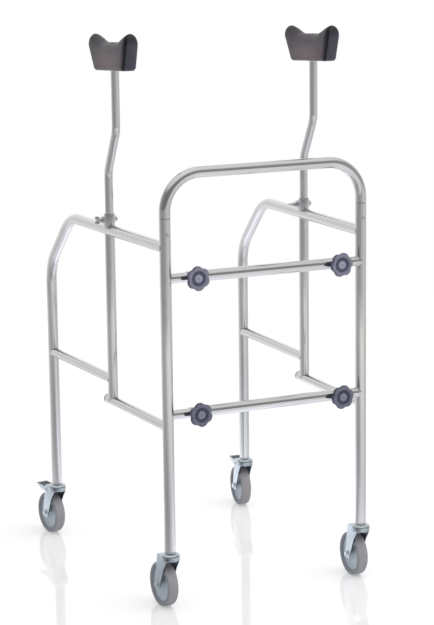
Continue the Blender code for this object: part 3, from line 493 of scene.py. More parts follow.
for name in SIDES:
    corner_reach = CORNER_BEND * math.tan(math.pi / 8)
    eighth = math.pi / 4
    moves = [
        ("neck", MOUTH_EASE, UPRIGHT_RADIUS),
        ("run", SIDE_RAIL_HEIGHT - CORNER_CUT - corner_reach - UPRIGHT_FOOT - MOUTH_EASE),
        ("bend", CORNER_BEND, eighth),
        ("run", CORNER_CUT * math.sqrt(2) - 2 * corner_reach),
        ("bend", CORNER_BEND, eighth),
        ("run", SIDE_LENGTH - CORNER_CUT - corner_reach),
    ]
    form = bent_tube((0, SIDE_LENGTH, UPRIGHT_FOOT), UP, ACROSS, UPRIGHT_RADIUS - MOUTH_EASE, moves)
    coped(form, 1, 0, UPRIGHT_RADIUS - COPE)
    weld(form, UPRIGHT_RADIUS, UPRIGHT_RADIUS, facing((0, 0, SIDE_RAIL_HEIGHT), REAR, UP))
    finished(f"rear_upright_{name}", form, chrome, "frame", [f"rear_leg_{name}"], side_place[name])

    start = (0, POST_SETBACK, MIDDLE_RAIL_HEIGHT)
    form = bent_tube(start, REAR, ACROSS, RAIL_RADIUS, [("run", SIDE_LENGTH - POST_SETBACK)])
    coped(form, 1, POST_SETBACK, POST_RADIUS - COPE)
    coped(form, 1, SIDE_LENGTH, COPE - UPRIGHT_RADIUS)
    weld(form, RAIL_RADIUS, POST_RADIUS, facing(start, REAR, UP))
    end = (0, SIDE_LENGTH, MIDDLE_RAIL_HEIGHT)
    weld(form, RAIL_RADIUS, UPRIGHT_RADIUS, facing(end, FRONT, UP))
    finished(f"middle_rail_{name}", form, chrome, "frame", [f"mid_rail_{name}"], side_place[name])

    start = (0, 0, BOTTOM_RAIL_HEIGHT)
    length = POST_SETBACK + BOTTOM_RAIL_OVERHANG
    moves = [("run", length - MOUTH_EASE), ("neck", MOUTH_EASE, RAIL_RADIUS - MOUTH_EASE)]
    form = bent_tube(start, REAR, ACROSS, RAIL_RADIUS, moves)
    coped(form, 1, 0, UPRIGHT_RADIUS - COPE)
    weld(form, RAIL_RADIUS, UPRIGHT_RADIUS, facing(start, REAR, UP))
    finished(f"bottom_rail_{name}", form, chrome, "frame", [f"low_rail_{name}"], side_place[name])

    foot = (0, POST_SETBACK, BOTTOM_RAIL_HEIGHT)
    form = bent_tube(foot, UP, ACROSS, POST_RADIUS, [("run", SIDE_RAIL_HEIGHT - BOTTOM_RAIL_HEIGHT)])
    coped(form, 2, BOTTOM_RAIL_HEIGHT, RAIL_RADIUS - COPE)
    coped(form, 2, SIDE_RAIL_HEIGHT, COPE - UPRIGHT_RADIUS)
    weld(form, POST_RADIUS, RAIL_RADIUS, facing(foot, UP, REAR))
    top = (0, POST_SETBACK, SIDE_RAIL_HEIGHT)
    weld(form, POST_RADIUS, UPRIGHT_RADIUS, facing(top, (0, 0, -1), REAR))
    finished(f"guide_post_{name}", form, chrome, "frame", [f"post_{name}"], side_place[name])


# Rail end plugs: black moulded plastic, pushed into the free rear ends of the bottom rails.
# A ribbed shank grips the bore, and the cap's edge is rounded.
black_plastic, tree, place = new_finish("moulded_black_polythene", "dark_plastic", 0.0)
cloud = add_node(tree, "TexNoise", {"Scale": 120, "Detail": 4}, {"Vector": place})
dye = add_node(tree, "Mix", {6: linear("#2C2C30"), 7: linear("#43434A")}, {0: cloud}, data_type="RGBA")
# The mould's fine matt grain, about 0.2 mm, is drawn as 0.8 mm noise.
grain = add_node(tree, "TexNoise", {"Scale": 1200, "Detail": 2}, {"Vector": place})
surfaced(tree, dye, cloud, (0.42, 0.6), grain, 0.3, 0.1 * MM)

PLUG_CAP = 4 * MM
for name in SIDES:
    rear_end = facing((0, POST_SETBACK + BOTTOM_RAIL_OVERHANG, BOTTOM_RAIL_HEIGHT), REAR, UP)
    profile = in_mm([(0, -12), (8.6, -12), (9.4, -11), (9, -9), (9.4, -8), (9, -6), (9.4, -5), (9.4, 0.3)])
    profile += [(RAIL_RADIUS, 0.3 * MM)]
    profile += in_mm([(0, -1.6), (-0.3, -0.8), (-1, -0.2), (-2, 0)], RAIL_RADIUS, PLUG_CAP) + [(0, PLUG_CAP)]
    place = side_place[name] @ rear_end
    finished(f"rail_end_plug_{name}", turned(profile, 48), black_plastic, "frame", [f"low_rail_plug_{name}"], place)


# Split collars: a steel band round the crutch tube with two thick lugs and a welded hexagon nut.
# Each stands on the side rail, and the wing screw pulls its lugs together to hold the chosen height.
COLLAR_TOP = 846.5 * MM
COLLAR_FOOT = 812 * MM
COLLAR_BORE = 9.9 * MM
COLLAR_RADIUS = 12.2 * MM
COLLAR_SLOT = 3 * MM
LUG_FOOT = 822.5 * MM
LUG_HEIGHT = 16 * MM
LUG_REACH = 25 * MM
LUG_HALF = 10 * MM
SCREW_SETBACK = 17 * MM
NUT_LENGTH = 15 * MM
NUT_RADIUS = 7.5 * MM
SCREW_RADIUS = 4 * MM
SCREW_HEIGHT = LUG_FOOT + LUG_HEIGHT / 2


def hexagon(radius, length, ease, form, place):
    """A six-sided head or nut, as long as its length from its seat, with its corners eased."""
    fresh = bmesh.new()
    lift = Matrix.Translation((0, 0, length / 2))
    bmesh.ops.create_cone(fresh, cap_ends=True, segments=6, radius1=radius, radius2=radius, depth=length, matrix=lift)
    return added(form, eased(fresh, ease), place)


for name in SIDES:
    slot_angle = 2 * math.asin(COLLAR_SLOT / 2 / COLLAR_BORE)
    form = bmesh.new()
    strip = bmesh.ops.create_grid(form, x_segments=1, y_segments=1, size=0.5)["verts"]
    band_width = COLLAR_RADIUS - COLLAR_BORE
    band = Matrix.Diagonal((band_width, COLLAR_TOP - COLLAR_FOOT, 1, 1))
    stand = facing(((COLLAR_BORE + COLLAR_RADIUS) / 2, 0, (COLLAR_TOP + COLLAR_FOOT) / 2), FRONT, UP)
    beside_slot = Matrix.Rotation(math.pi / 2 + slot_angle / 2, 4, "Z")
    bmesh.ops.transform(form, matrix=beside_slot @ stand @ band, verts=strip)
    edges = form.edges[:]
    sweep = 2 * math.pi - slot_angle
    bmesh.ops.spin(form, geom=strip + edges + form.faces[:], cent=(0, 0, 0), axis=UP, angle=sweep, steps=60)
    eased(form, 0.4 * MM, 2, 50)
    for side in (-1, 1):
        low = (min(side * COLLAR_SLOT / 2, side * LUG_HALF), COLLAR_BORE + 1 * MM, LUG_FOOT)
        high = (max(side * COLLAR_SLOT / 2, side * LUG_HALF), LUG_REACH, LUG_FOOT + LUG_HEIGHT)
        block(low, high, 1.6 * MM, form)
    nut_place = facing((LUG_HALF - 0.6 * MM, SCREW_SETBACK, SCREW_HEIGHT), ACROSS, UP)
    hexagon(NUT_RADIUS, NUT_LENGTH, 0.7 * MM, form, nut_place)
    bead(NUT_RADIUS - 0.4 * MM, 0, 1 * MM, form, nut_place)
    place = side_place[name] @ Matrix.Translation((0, POST_SETBACK, 0))
    finished(f"split_collar_{name}", form, steel, "frame", [f"clamp_collar_{name}"], place)


# Wing screws: a threaded steel rod through each collar's lugs, with a cast wing for the thumb on its end.
# The left wing stands upright and the right one lies level, as they were left when last tightened.
WING_TURN = {"left": 0, "right": 90}
EAR_LEAN = 0.35
EAR_SPREAD = 4.4 * MM
WING_ROOT = 14 * MM
WING_LENGTH = 15 * MM
WING_THICKNESS = 4 * MM


def thicken(fresh, pull):
    """Pull a flat form's faces out to a thickness."""
    raised = bmesh.ops.extrude_face_region(fresh, geom=fresh.faces[:])["geom"]
    bmesh.ops.translate(fresh, verts=only(raised, BMVert), vec=pull)


for name in SIDES:
    place = side_place[name] @ Matrix.Translation((0, POST_SETBACK + SCREW_SETBACK, SCREW_HEIGHT))
    place = place @ Matrix.Rotation(math.radians(WING_TURN[name]), 4, "X")
    tip = LUG_HALF + NUT_LENGTH + 2 * MM
    profile = [(0, -tip), (3 * MM, -tip)] + threaded(SCREW_RADIUS, -tip + 0.6 * MM, WING_ROOT) + [(0, WING_ROOT)]
    outward = facing((0, 0, 0), (-1, 0, 0), UP)
    form = turned(profile, 32, None, outward)
    hub = [(0, -2), (5, -2), (5.5, -1.2), (5.2, 4), (4.2, 7), (2.4, 8.6), (0, 9)]
    turned(in_mm(hub, 0, WING_ROOT), 32, form, outward)
    for side in (-1, 1):
        ear = bmesh.new()
        middle = (0, side * EAR_SPREAD, WING_ROOT + WING_LENGTH / 2 + 0.5 * MM)
        leaf = Matrix.Translation(middle) @ Matrix.Rotation(side * -EAR_LEAN, 4, "X")
        oval = Matrix.Rotation(math.pi / 2, 4, "Y") @ Matrix.Diagonal((7 * MM, 4.4 * MM, 1, 1))
        bmesh.ops.create_circle(ear, cap_ends=True, segments=32, radius=1, matrix=oval)
        bmesh.ops.translate(ear, verts=ear.verts, vec=(-WING_THICKNESS / 2, 0, 0))
        thicken(ear, (WING_THICKNESS, 0, 0))
        added(form, eased(ear, 1.2 * MM), outward @ leaf)
    finished(f"wing_screw_{name}", form, steel, f"clamp_screw_{name}", [f"clamp_screw_{name}"], place)


# Cranked crutch tubes: thinner chromed tubes that slide in the guide posts and are bent twice, so that the
# rest stands a little forward. A moulded bush closes each foot, and a steel board for the pad is welded on top.
CRUTCH_RADIUS = 9.5 * MM
CRUTCH_FOOT = 500 * MM
CRANK_HEIGHT = 943 * MM
CRANK_RISE = 94 * MM
CRANK_OFFSET = 50 * MM
CRANK_BEND = 65 * MM
PAD_HEIGHT = 1171 * MM
PAD_TILT = math.radians(3)
BOARD_LENGTH, BOARD_WIDTH, BOARD_THICKNESS = 130 * MM, 22 * MM, 3 * MM

crutch_place = {
    name: Matrix.Translation(side_place[name] @ Vector((0, POST_SETBACK, 0)))
    for name in SIDES
}
tilted = Matrix.Translation((0, -CRANK_OFFSET, PAD_HEIGHT)) @ Matrix.Rotation(-PAD_TILT, 4, "X")
for name in SIDES:
    lean = math.atan(CRANK_OFFSET / CRANK_RISE)
    bend_reach = CRANK_BEND * math.tan(lean / 2)
    moves = [
        ("run", CRANK_HEIGHT - CRUTCH_FOOT - bend_reach),
        ("bend", CRANK_BEND, lean),
        ("run", math.hypot(CRANK_OFFSET, CRANK_RISE) - 2 * bend_reach),
        ("bend", CRANK_BEND, -lean),
        ("run", PAD_HEIGHT + BOARD_THICKNESS / 2 - CRANK_HEIGHT - CRANK_RISE - bend_reach),
    ]
    form = bent_tube((0, 0, CRUTCH_FOOT), UP, ACROSS, CRUTCH_RADIUS, moves)
    board = bmesh.new()
    disc = Matrix.Rotation(math.pi / 32, 4, "Z") @ Matrix.Diagonal((BOARD_WIDTH / 2, BOARD_WIDTH / 2, 1, 1))
    bmesh.ops.create_circle(board, cap_ends=True, segments=32, radius=1, matrix=disc)
    for vert in board.verts:
        vert.co.y += math.copysign((BOARD_LENGTH - BOARD_WIDTH) / 2, vert.co.y)
    thicken(board, (0, 0, BOARD_THICKNESS))
    added(form, eased(board, 0.5 * MM), tilted)
    weld(form, CRUTCH_RADIUS, 0, facing((0, -CRANK_OFFSET, PAD_HEIGHT), (0, 0, -1), REAR))
    place = crutch_place[name]
    finished(f"cranked_tube_{name}", form, chrome, f"crutch_{name}", [f"crutch_tube_{name}"], place)

    foot = CRUTCH_FOOT - 0.3 * MM
    profile = in_mm([(0, -6), (8.3, -6), (9.5, -4.8), (9.5, 0), (7.8, 0), (7.8, 18), (6.8, 20), (0, 20)], 0, foot)
    bush = turned(profile, 40)
    finished(f"sliding_bush_{name}", bush, black_plastic, f"crutch_bush_{name}", [f"crutch_bush_{name}"], place)


# Underarm pads: moulded foam on the steel board, covered in dark vinyl that is sewn from two side panels,
# two rolled end panels and a saddle-shaped top. Deep creases show where the sides meet the end rolls.
PAD_HALF_WIDTH = 19.3 * MM
PAD_FOOT_REACH = 71 * MM
PAD_REACH = {"front": 93 * MM, "rear": 104 * MM}
# The top's height, how far its crown falls to the rim and how round it falls, over the dip and over the humps.
DIP = Vector((63.4 * MM, 16.5 * MM, 1.44))
HUMP = Vector((82.5 * MM, 22.8 * MM, 1.76))
SADDLE_CENTRE, SADDLE_FLAT, SADDLE_RISE = 3.3 * MM, 29.6 * MM, 79 * MM
RIM_HEIGHT = HUMP[0] - HUMP[1]
FOOT_CORNER = 6 * MM
FOAM_SLACK = 0.6 * MM
# The share of the foam's rows that make its round end.
END_SHARE = 0.2
SWELL_CAP = 5 * MM
COVER_PRESSURE = 3
COVER_FRAMES = 20
# The cover is held on the board up to this height, and on the saddle above this one.
STAPLED_BELOW, GLUED_ABOVE = 3 * MM, 30 * MM
SADDLE_REACH = 68 * MM
VOXEL = 4 * MM
SEAM_DEPTH = 5 * MM
SEAM_ANGLE = {"foot": math.radians(31), "top": math.radians(25)}
# In millimetres: an end crease's width at the foot, and how much wider it is at the top.
CREASE_WIDTH, CREASE_FLARE = 3.2, 1.8
# How strongly the end creases are painted dark as shade.
CREASE_PAINTED_SHADE = 1.9
# The sides are paler round this height, so far up and down and so far along.
PALE_BAND_HEIGHT, PALE_BAND_SPREAD, PALE_BAND_LENGTH = 18 * MM, 24 * MM, 70 * MM
# From this height up, fading in over this span, the hump tops are painted darker as shade.
TOP_SHADE_START, TOP_SHADE_FADE = 52 * MM, 24 * MM


def layered(tree, tone, colours):
    """Lay further colours over a tone, each as thick as the piece's attribute of that name says."""
    for attribute, colour in colours.items():
        thickness = add_node(tree, "Attribute", attribute_name=attribute).outputs["Fac"]
        tone = add_node(tree, "Mix", {7: linear(colour)}, {0: thickness, 6: tone}, data_type="RGBA")
    return tone


# Upholstery vinyl: dark aubergine grey with an embossed leather grain, softly shiny, paler low in the middle of each
# side.
# The real grain cells are about 0.8 mm; they are drawn at 1.6 mm so that they show. The creases are painted dark as
# shade.
vinyl, tree, place = new_finish("embossed_dark_vinyl", "pad_vinyl", 0.0)
cloud = add_node(tree, "TexNoise", {"Scale": 28, "Detail": 5, "Roughness": 0.6}, {"Vector": place})
dye = add_node(tree, "Mix", {6: linear("#413D45"), 7: linear("#57515B")}, {0: cloud}, data_type="RGBA")
# The end rolls are painted darker and bluer, partly their own panel's tone and partly painted shade.
dye = layered(tree, dye, {"pale_low_side": "#7A6A70", "end_roll": "#484856", "hump": "#1B1A1E", "crease": "#0D0A12"})
cells = add_node(tree, "TexVoronoi", {"Scale": 620}, {"Vector": place}, feature="DISTANCE_TO_EDGE")
folds = add_node(tree, "MapRange", {"From Min": 0.0, "From Max": 0.18}, {"Value": cells})
surfaced(tree, dye, cloud, (0.38, 0.54), folds, 0.35, 0.15 * MM)


def saddle(y):
    """The top's height, fall and roundness along the pad: a dip over the tube and a hump at each end."""
    climb = min(max((abs(y - SADDLE_CENTRE) - SADDLE_FLAT) / SADDLE_RISE, 0), 1)
    return DIP.lerp(HUMP, (1 - math.cos(math.pi * climb)) / 2)


def end_centre(y, share):
    """Where the round end of that side has its centre, at a share of the flare from the foot to the top."""
    reach = PAD_REACH["rear" if y > 0 else "front"]
    return math.copysign(PAD_FOOT_REACH + (reach - PAD_FOOT_REACH) * share, y)


def foam_block():
    """The bare foam: a long form with round ends, flaring upwards, with a crowned saddle top."""
    form = bmesh.new()
    bmesh.ops.create_grid(form, x_segments=10, y_segments=60, size=1)
    half = PAD_HALF_WIDTH - FOAM_SLACK
    straight = 1 - END_SHARE
    for vert in form.verts:
        x, y, _ = vert.co
        centre = end_centre(y, 0)
        ending = max(abs(y) - straight, 0) / END_SHARE
        width = half * math.sqrt(max(1 - ending ** 2, 0))
        along = abs(y) / straight * abs(centre) if abs(y) < straight else abs(centre) + half * ending
        vert.co = Vector((x * width, math.copysign(along, y), 0))
    bmesh.ops.remove_doubles(form, verts=form.verts, dist=0.2 * MM)
    foot = form.faces[:]
    top = bmesh.ops.extrude_face_region(form, geom=foot)["geom"]
    for vert in only(top, BMVert):
        x, y, _ = vert.co
        reach = PAD_REACH["rear" if y > 0 else "front"]
        stretch = (reach - PAD_FOOT_REACH) * min(abs(y) / PAD_FOOT_REACH, 1)
        y += math.copysign(stretch, y)
        spine = min(abs(y), reach)
        off = math.hypot(x, abs(y) - spine) / half
        height, fall, roundness = saddle(y)
        drop = fall * (1 - math.sqrt(max(1 - min(off, 1) ** roundness, 0)))
        vert.co = Vector((x, y, height - FOAM_SLACK - drop))
    bmesh.ops.recalc_face_normals(form, faces=form.faces)
    return form


def applied(made):
    """Put what the modifiers make into the piece's own mesh and drop them."""
    seen = made.evaluated_get(bpy.context.evaluated_depsgraph_get())
    mesh = bpy.data.meshes.new_from_object(seen)
    made.modifiers.clear()
    made.data = mesh


def stuffed(made):
    """Let the cover swell over its foam as cloth under a little pressure, with its foot held on the board."""
    remesh = made.modifiers.new("skin", "REMESH")
    remesh.mode = "VOXEL"
    remesh.voxel_size = VOXEL
    applied(made)
    rest = [vert.co.copy() for vert in made.data.vertices]
    held = made.vertex_groups.new(name="stapled_foot_and_glued_saddle")
    still = [
        i for i, co in enumerate(rest)
        if co.z < STAPLED_BELOW or (co.z > GLUED_ABOVE and abs(co.y) < SADDLE_REACH)
    ]
    held.add(still, 1.0, "REPLACE")
    cloth = made.modifiers.new("cover", "CLOTH")
    cloth.settings.quality = 6
    cloth.settings.mass = 0.4
    cloth.settings.use_pressure = True
    cloth.settings.uniform_pressure_force = COVER_PRESSURE
    cloth.settings.vertex_group_mass = held.name
    cloth.settings.effector_weights.gravity = 0
    cloth.point_cache.frame_end = COVER_FRAMES
    scene = bpy.context.scene
    for frame_number in range(1, COVER_FRAMES + 1):
        scene.frame_set(frame_number)
    applied(made)
    scene.frame_set(1)
    for vert, start in zip(made.data.vertices, rest):
        move = vert.co - start
        if move.length > SWELL_CAP:
            vert.co = start + move * (SWELL_CAP / move.length)


def panel_marks(co):
    """Where a point of the cover lies: how deep in an end crease, how far on an end roll, how pale it is low on its
    side.
    """
    share = min(co.z / RIM_HEIGHT, 1)
    centre = end_centre(co.y, share)
    angle = math.atan2((co.y - centre) * math.copysign(1, co.y), abs(co.x))
    seam = SEAM_ANGLE["foot"] * (1 - share) + SEAM_ANGLE["top"] * share
    across = (angle - seam) * PAD_HALF_WIDTH
    width = (CREASE_WIDTH + CREASE_FLARE * share) * MM
    crease = math.exp(-(across / width) ** 2) if co.z > 2 * MM else 0
    roll = min(max(across / width + 0.5, 0), 1)
    low = math.exp(-((co.z - PALE_BAND_HEIGHT) / PALE_BAND_SPREAD) ** 2)
    paleness = low * math.exp(-(co.y / PALE_BAND_LENGTH) ** 2) * (1 - roll)
    return crease, roll, paleness


for name in SIDES:
    pad = shown(f"underarm_pad_{name}", meshed(f"underarm_pad_{name}", foam_block()))
    stuffed(pad)
    smooth = pad.modifiers.new("fine", "SUBSURF")
    smooth.levels = smooth.render_levels = 1
    applied(pad)
    marks = []
    for vert in pad.data.vertices:
        crease, roll, paleness = panel_marks(vert.co)
        centre = Vector((0, end_centre(vert.co.y, min(vert.co.z / RIM_HEIGHT, 1)), vert.co.z))
        inward = centre - vert.co
        if crease > 0.01 and inward.length > 0:
            vert.co += inward.normalized() * min(SEAM_DEPTH, inward.length / 2) * crease
        if vert.co.z < FOOT_CORNER:
            inset = FOOT_CORNER - math.sqrt(max(FOOT_CORNER ** 2 - (FOOT_CORNER - vert.co.z) ** 2, 0))
            spine = min(max(vert.co.y, -PAD_FOOT_REACH), PAD_FOOT_REACH)
            shrink = 1 - inset / PAD_HALF_WIDTH
            vert.co.xy = (vert.co.x * shrink, spine + (vert.co.y - spine) * shrink)
        if abs(vert.co.x) < BOARD_WIDTH / 2 + 1 * MM and abs(vert.co.y) < BOARD_LENGTH / 2 + 1 * MM:
            vert.co.z = max(vert.co.z, BOARD_THICKNESS + 0.4 * MM)
        # The hump tops are painted darker as shade.
        hump = min(max((vert.co.z - TOP_SHADE_START) / TOP_SHADE_FADE, 0), 1)
        marks.append((paleness, roll, hump, min(CREASE_PAINTED_SHADE * crease, 1)))
    marked(pad.data, dict(zip(("pale_low_side", "end_roll", "hump", "crease"), zip(*marks))))
    pad.data.transform(crutch_place[name] @ tilted)
    pad.data.shade_smooth()
    pad.data.materials.clear()
    pad.data.materials.append(vinyl)
    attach(pad, f"crutch_{name}")
    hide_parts(f"pad_{name}")


# Castors, forks: pressed and zinc-plated steel, a round crown over the ball race with a plate down each side.
# Every fork trails to the rear, and the wheel's bolt passes through a raised boss at the foot of each plate.
WHEEL_RADIUS = 50 * MM
TRAIL = 34 * MM
FORK_INNER = 14.5 * MM
FORK_PLATE = 2.5 * MM
CROWN_FOOT = 113.5 * MM
CROWN_TOP = 129 * MM
CROWN_RADIUS = 21.7 * MM
AXLE_RADIUS = 4 * MM
# The bridge behind the crown that joins the two plates' brows.
BROW_LOW = (-15.8 * MM, 17 * MM, 120 * MM)
BROW_HIGH = (15.8 * MM, 31.8 * MM, 122.6 * MM)
# Each castor's swivel axis, and how far its wheel has swung outwards.
CASTORS = {
    f"{end}_{name}": Matrix.Translation((sign * spacing, y, 0)) @ Matrix.Rotation(-sign * math.radians(swing), 4, "Z")
    for end, spacing, y, swing in (("front", HALF_FRONT, FRONT_Y, 2), ("rear", 257 * MM, FRONT_Y + 640 * MM, 7))
    for name, sign in SIDES.items()
}

# Bright zinc electroplate on pressed steel: cool grey-blue, with soft clouds and faint die marks.
# Its clouds are about 12 mm across; the 0.3 mm orange peel is drawn at 1 mm.
zinc, tree, place = new_finish("bright_zinc_electroplate", "zinc_plate", 1.0)
cloud = add_node(tree, "TexNoise", {"Scale": 85, "Detail": 5, "Roughness": 0.6}, {"Vector": place})
plate = add_node(tree, "Mix", {6: linear("#BAC5CC"), 7: linear("#D8E0E5")}, {0: cloud}, data_type="RGBA")
# Where its attribute says, the zinc is dark: the pedals' black tread coat, and on the forks painted shade and painted
# reflections.
plate = layered(tree, plate, {"coat_and_painted_shade": "#2A3438"})
peel = add_node(tree, "TexNoise", {"Scale": 1000, "Detail": 2}, {"Vector": place})
surfaced(tree, plate, cloud, (0.24, 0.36), peel, 0.2, 0.05 * MM)


# Turns an outline's own X and Y to the rear and upwards, and its thickness across the walker.
FROM_SIDE = Matrix(((0, 0, 1, 0), (1, 0, 0, 0), (0, 1, 0, 0), (0, 0, 0, 1)))


def sheet_part(outline, thickness, ease, corner_ease=0.0, form=None, place=Matrix.Identity(4)):
    """A flat part cut to an outline in its own XY plane, with rounded corners, pulled up by its thickness."""
    fresh = bmesh.new()
    corners = [fresh.verts.new((a, b, 0)) for a, b in outline]
    bmesh.ops.contextual_create(fresh, geom=corners)
    if corner_ease:
        rounded(fresh, corners, corner_ease, 5, "VERTICES")
    thicken(fresh, (0, 0, thickness))
    return added(form, eased(fresh, ease), place)


# Painted shade darkens the inside of the fork and the crown's inner recess, and painted reflections lie as dark
# patches on the front of the crown.
PAINTED_DARK_PATCHES = [(-20, 17, 119.5 * MM, 3.6 * MM, 0.85), (50, 9, 120 * MM, 5 * MM, 0.5)]
# Seen from above, on a castor that points straight ahead: the picture's right, and the way to the camera.
TO_RIGHT, TO_CAMERA = (0.903, -0.429), (-0.427, -0.904)


def painted_shade_and_reflection(co):
    """How dark a point of a fork is painted: as shade inside the fork and in the crown's recess, as reflection in
    patches; a patch has a bearing, a width, a height, a depth and a strength.
    """
    reach = math.hypot(co.x, co.y)
    if abs(co.x) < FORK_INNER + 0.3 * MM and co.z < CROWN_FOOT + 0.3 * MM:
        return 1.0
    if abs(reach - CROWN_RADIUS + 3 * MM) < 0.1 * MM and co.z < CROWN_TOP - 3 * MM:
        return 1.0
    if abs(co.x) > FORK_INNER and co.z < CROWN_FOOT:
        return 0.0
    if reach > CROWN_RADIUS + 0.2 * MM:
        return 0.0
    right, near = (aim[0] * co.x + aim[1] * co.y for aim in (TO_RIGHT, TO_CAMERA))
    bearing = math.degrees(math.atan2(right, near))
    coat_and_painted_shade = 0.0
    for aim, width, height, depth, strength in PAINTED_DARK_PATCHES:
        coat_and_painted_shade += strength * math.exp(-((bearing - aim) / width) ** 2 - ((co.z - height) / depth) ** 2)
    return min(coat_and_painted_shade, 1.0)


for name, stand in CASTORS.items():
    ridged = [(-3, 0), (-1, 0), (0, 0.7), (0, 2.1), (-1.2, 2.9), (-1.2, 4.3), (-0.2, 5.3), (-0.2, 8.9)]
    profile = in_mm(ridged, CROWN_RADIUS, CROWN_FOOT)
    profile += in_mm([(-1, -4), (-3, -1.8), (-6, -0.4), (-8.6, 0)], CROWN_RADIUS, CROWN_TOP)
    profile += in_mm([(5.4, 0), (5.4, -4.5)], 0, CROWN_TOP) + in_mm([(-3, 11), (-3, 0)], CROWN_RADIUS, CROWN_FOOT)
    form = turned(profile, 72)
    # Seen from the side, in (y, z): brow, throat, down to the boss, and up the straight rear edge.
    outline = [(2, 122.6), (2, 116), (-13, 115.6), (-13, 113.8), (3.6, 90), (24.2, 44.8), (44.8, 52), (32, 122.6)]
    for side in (-1, 1):
        low = min(side * FORK_INNER, side * (FORK_INNER + FORK_PLATE))
        plate_place = Matrix.Translation((low, 0, 0)) @ FROM_SIDE
        sheet_part(in_mm(outline), FORK_PLATE, 0.7 * MM, 0.9 * MM, form, plate_place)
        boss = [(4.4, -0.3), (10.4, -0.3), (11, 0.4), (11, 2), (10.2, 2.75), (4.4, 2.75), (4.4, -0.3)]
        turned(in_mm(boss), 48, form, facing((side * FORK_INNER, TRAIL, WHEEL_RADIUS), (side, 0, 0), UP))
    block(BROW_LOW, BROW_HIGH, 0.8 * MM, form)
    darkening = [painted_shade_and_reflection(vert.co) for vert in form.verts]
    body = f"castor_{name}_fork"
    finished(f"castor_crown_fork_{name}", form, zinc, body, [body], stand, {"coat_and_painted_shade": darkening})


# Castor stems: a turned steel king pin with a round collar that the tube stands on and a plug up inside the tube.
# Its lower head holds the crown from below, so that the fork can swivel.
for name, stand in CASTORS.items():
    profile = [
        (0, 120.2), (9.4, 120.2), (10, 120.8), (10, 124.2), (5, 124.2), (5, 129.3), (11.3, 129.3), (12.4, 129.9),
        (12.5, 130.4), (12.5, 132.2), (11.8, 133), (10.6, 133), (10.6, 173), (9.4, 175), (0, 175),
    ]
    form = turned(in_mm(profile), 48)
    finished(f"castor_king_pin_{name}", form, steel, "frame", [f"castor_{name}_stem"], stand)


# Wheel centres: moulded pale blue-grey plastic, a thin web between a hub and a stepped rim.
# Both faces are recessed, with a moulded ring round the hub and one inside the rim.
HUB_HALF = 14.2 * MM

# Moulded polypropylene: pale blue-grey, satin, with faint flow clouds.
# The mould's 0.15 mm grain is drawn at 0.8 mm so that it shows.
wheel_plastic, tree, place = new_finish("moulded_pale_polypropylene", "wheel_plastic", 0.0)
cloud = add_node(tree, "TexNoise", {"Scale": 70, "Detail": 5}, {"Vector": place})
dye = add_node(tree, "Mix", {6: linear("#BECBD6"), 7: linear("#D6E2EC")}, {0: cloud}, data_type="RGBA")
grain = add_node(tree, "TexNoise", {"Scale": 1200, "Detail": 2}, {"Vector": place})
surfaced(tree, dye, grain, (0.3, 0.45), grain, 0.2, 0.1 * MM)

axle_lines = {name: stand @ facing((0, TRAIL, WHEEL_RADIUS), (-1, 0, 0), UP) for name, stand in CASTORS.items()}
half_face = in_mm([(9.4, 0), (10, -0.6)], 0, HUB_HALF) + in_mm([
    (10.8, 6), (12, 4.6), (15.5, 4.5), (16.2, 4), (30, 4), (30.8, 4.6), (34.4, 4.8), (36.6, 5.2), (38.6, 7.4),
    (41.5, 8),
])
bore = AXLE_RADIUS + 0.3 * MM
profile = [(bore, -HUB_HALF)] + [(reach, -height) for reach, height in half_face] + half_face[::-1]
profile += [(bore, HUB_HALF), (bore, -HUB_HALF)]
for name, axle_line in axle_lines.items():
    body = f"castor_{name}_wheel"
    finished(f"castor_wheel_centre_{name}", turned(profile, 96), wheel_plastic, body, [body], axle_line)


# Tyres: solid non-marking grey rubber, moulded on the wheel, with round shoulders and a slightly crowned tread.
# The tread is a little scuffed and dusty where it has rolled.

# Where the clean flank starts: near the tread's edge, and everywhere on the wheel's side of this radius.
FLANK_EDGE = 10 * MM
FLANK_REACH = 44 * MM

# Grey vulcanised rubber: matt, warm grey, with fine scuffs; the smallest, 0.3 mm, are drawn at 1 mm.
rubber, tree, place = new_finish("grey_vulcanised_rubber", "grey_rubber", 0.0)
cloud = add_node(tree, "TexNoise", {"Scale": 55, "Detail": 6, "Roughness": 0.65}, {"Vector": place})
dye = add_node(tree, "Mix", {6: linear("#9F9DA2"), 7: linear("#BEBBC1")}, {0: cloud}, data_type="RGBA")
dye = layered(tree, dye, {"flank": "#989DA4"})
scuffs = add_node(tree, "TexNoise", {"Scale": 1000, "Detail": 3}, {"Vector": place})
surfaced(tree, dye, cloud, (0.55, 0.8), scuffs, 0.35, 0.12 * MM)

half_tread = in_mm([
    (50, 0), (50, 6), (49.8, 8.4), (49.2, 10.4), (48, 11.8), (46.4, 12.5), (43.6, 12.5), (42.2, 12.1), (41.2, 11.2),
    (38.4, 8.6), (38.2, 7.9), (41.8, 8.4),
])
profile = [(reach, -height) for reach, height in half_tread[::-1]] + half_tread[1:]
profile.append(profile[0])
for name, axle_line in axle_lines.items():
    form = turned(profile, 120)
    sides = [
        1 if vert.co.xy.length < FLANK_REACH else min(max((abs(vert.co.z) - FLANK_EDGE) / (2 * MM), 0), 1)
        for vert in form.verts
    ]
    body, node = f"castor_{name}_wheel", f"castor_{name}_tyre"
    finished(f"castor_tyre_{name}", form, rubber, body, [node], axle_line, {"flank": sides})


# Axle bolts: a hexagon head outside the left plate and a domed lock nut outside the right one, on plain washers.
AXLE_SEAT = 17.3 * MM
HEAD_RADIUS = 6.5 * MM
HEAD_LENGTH = 5 * MM

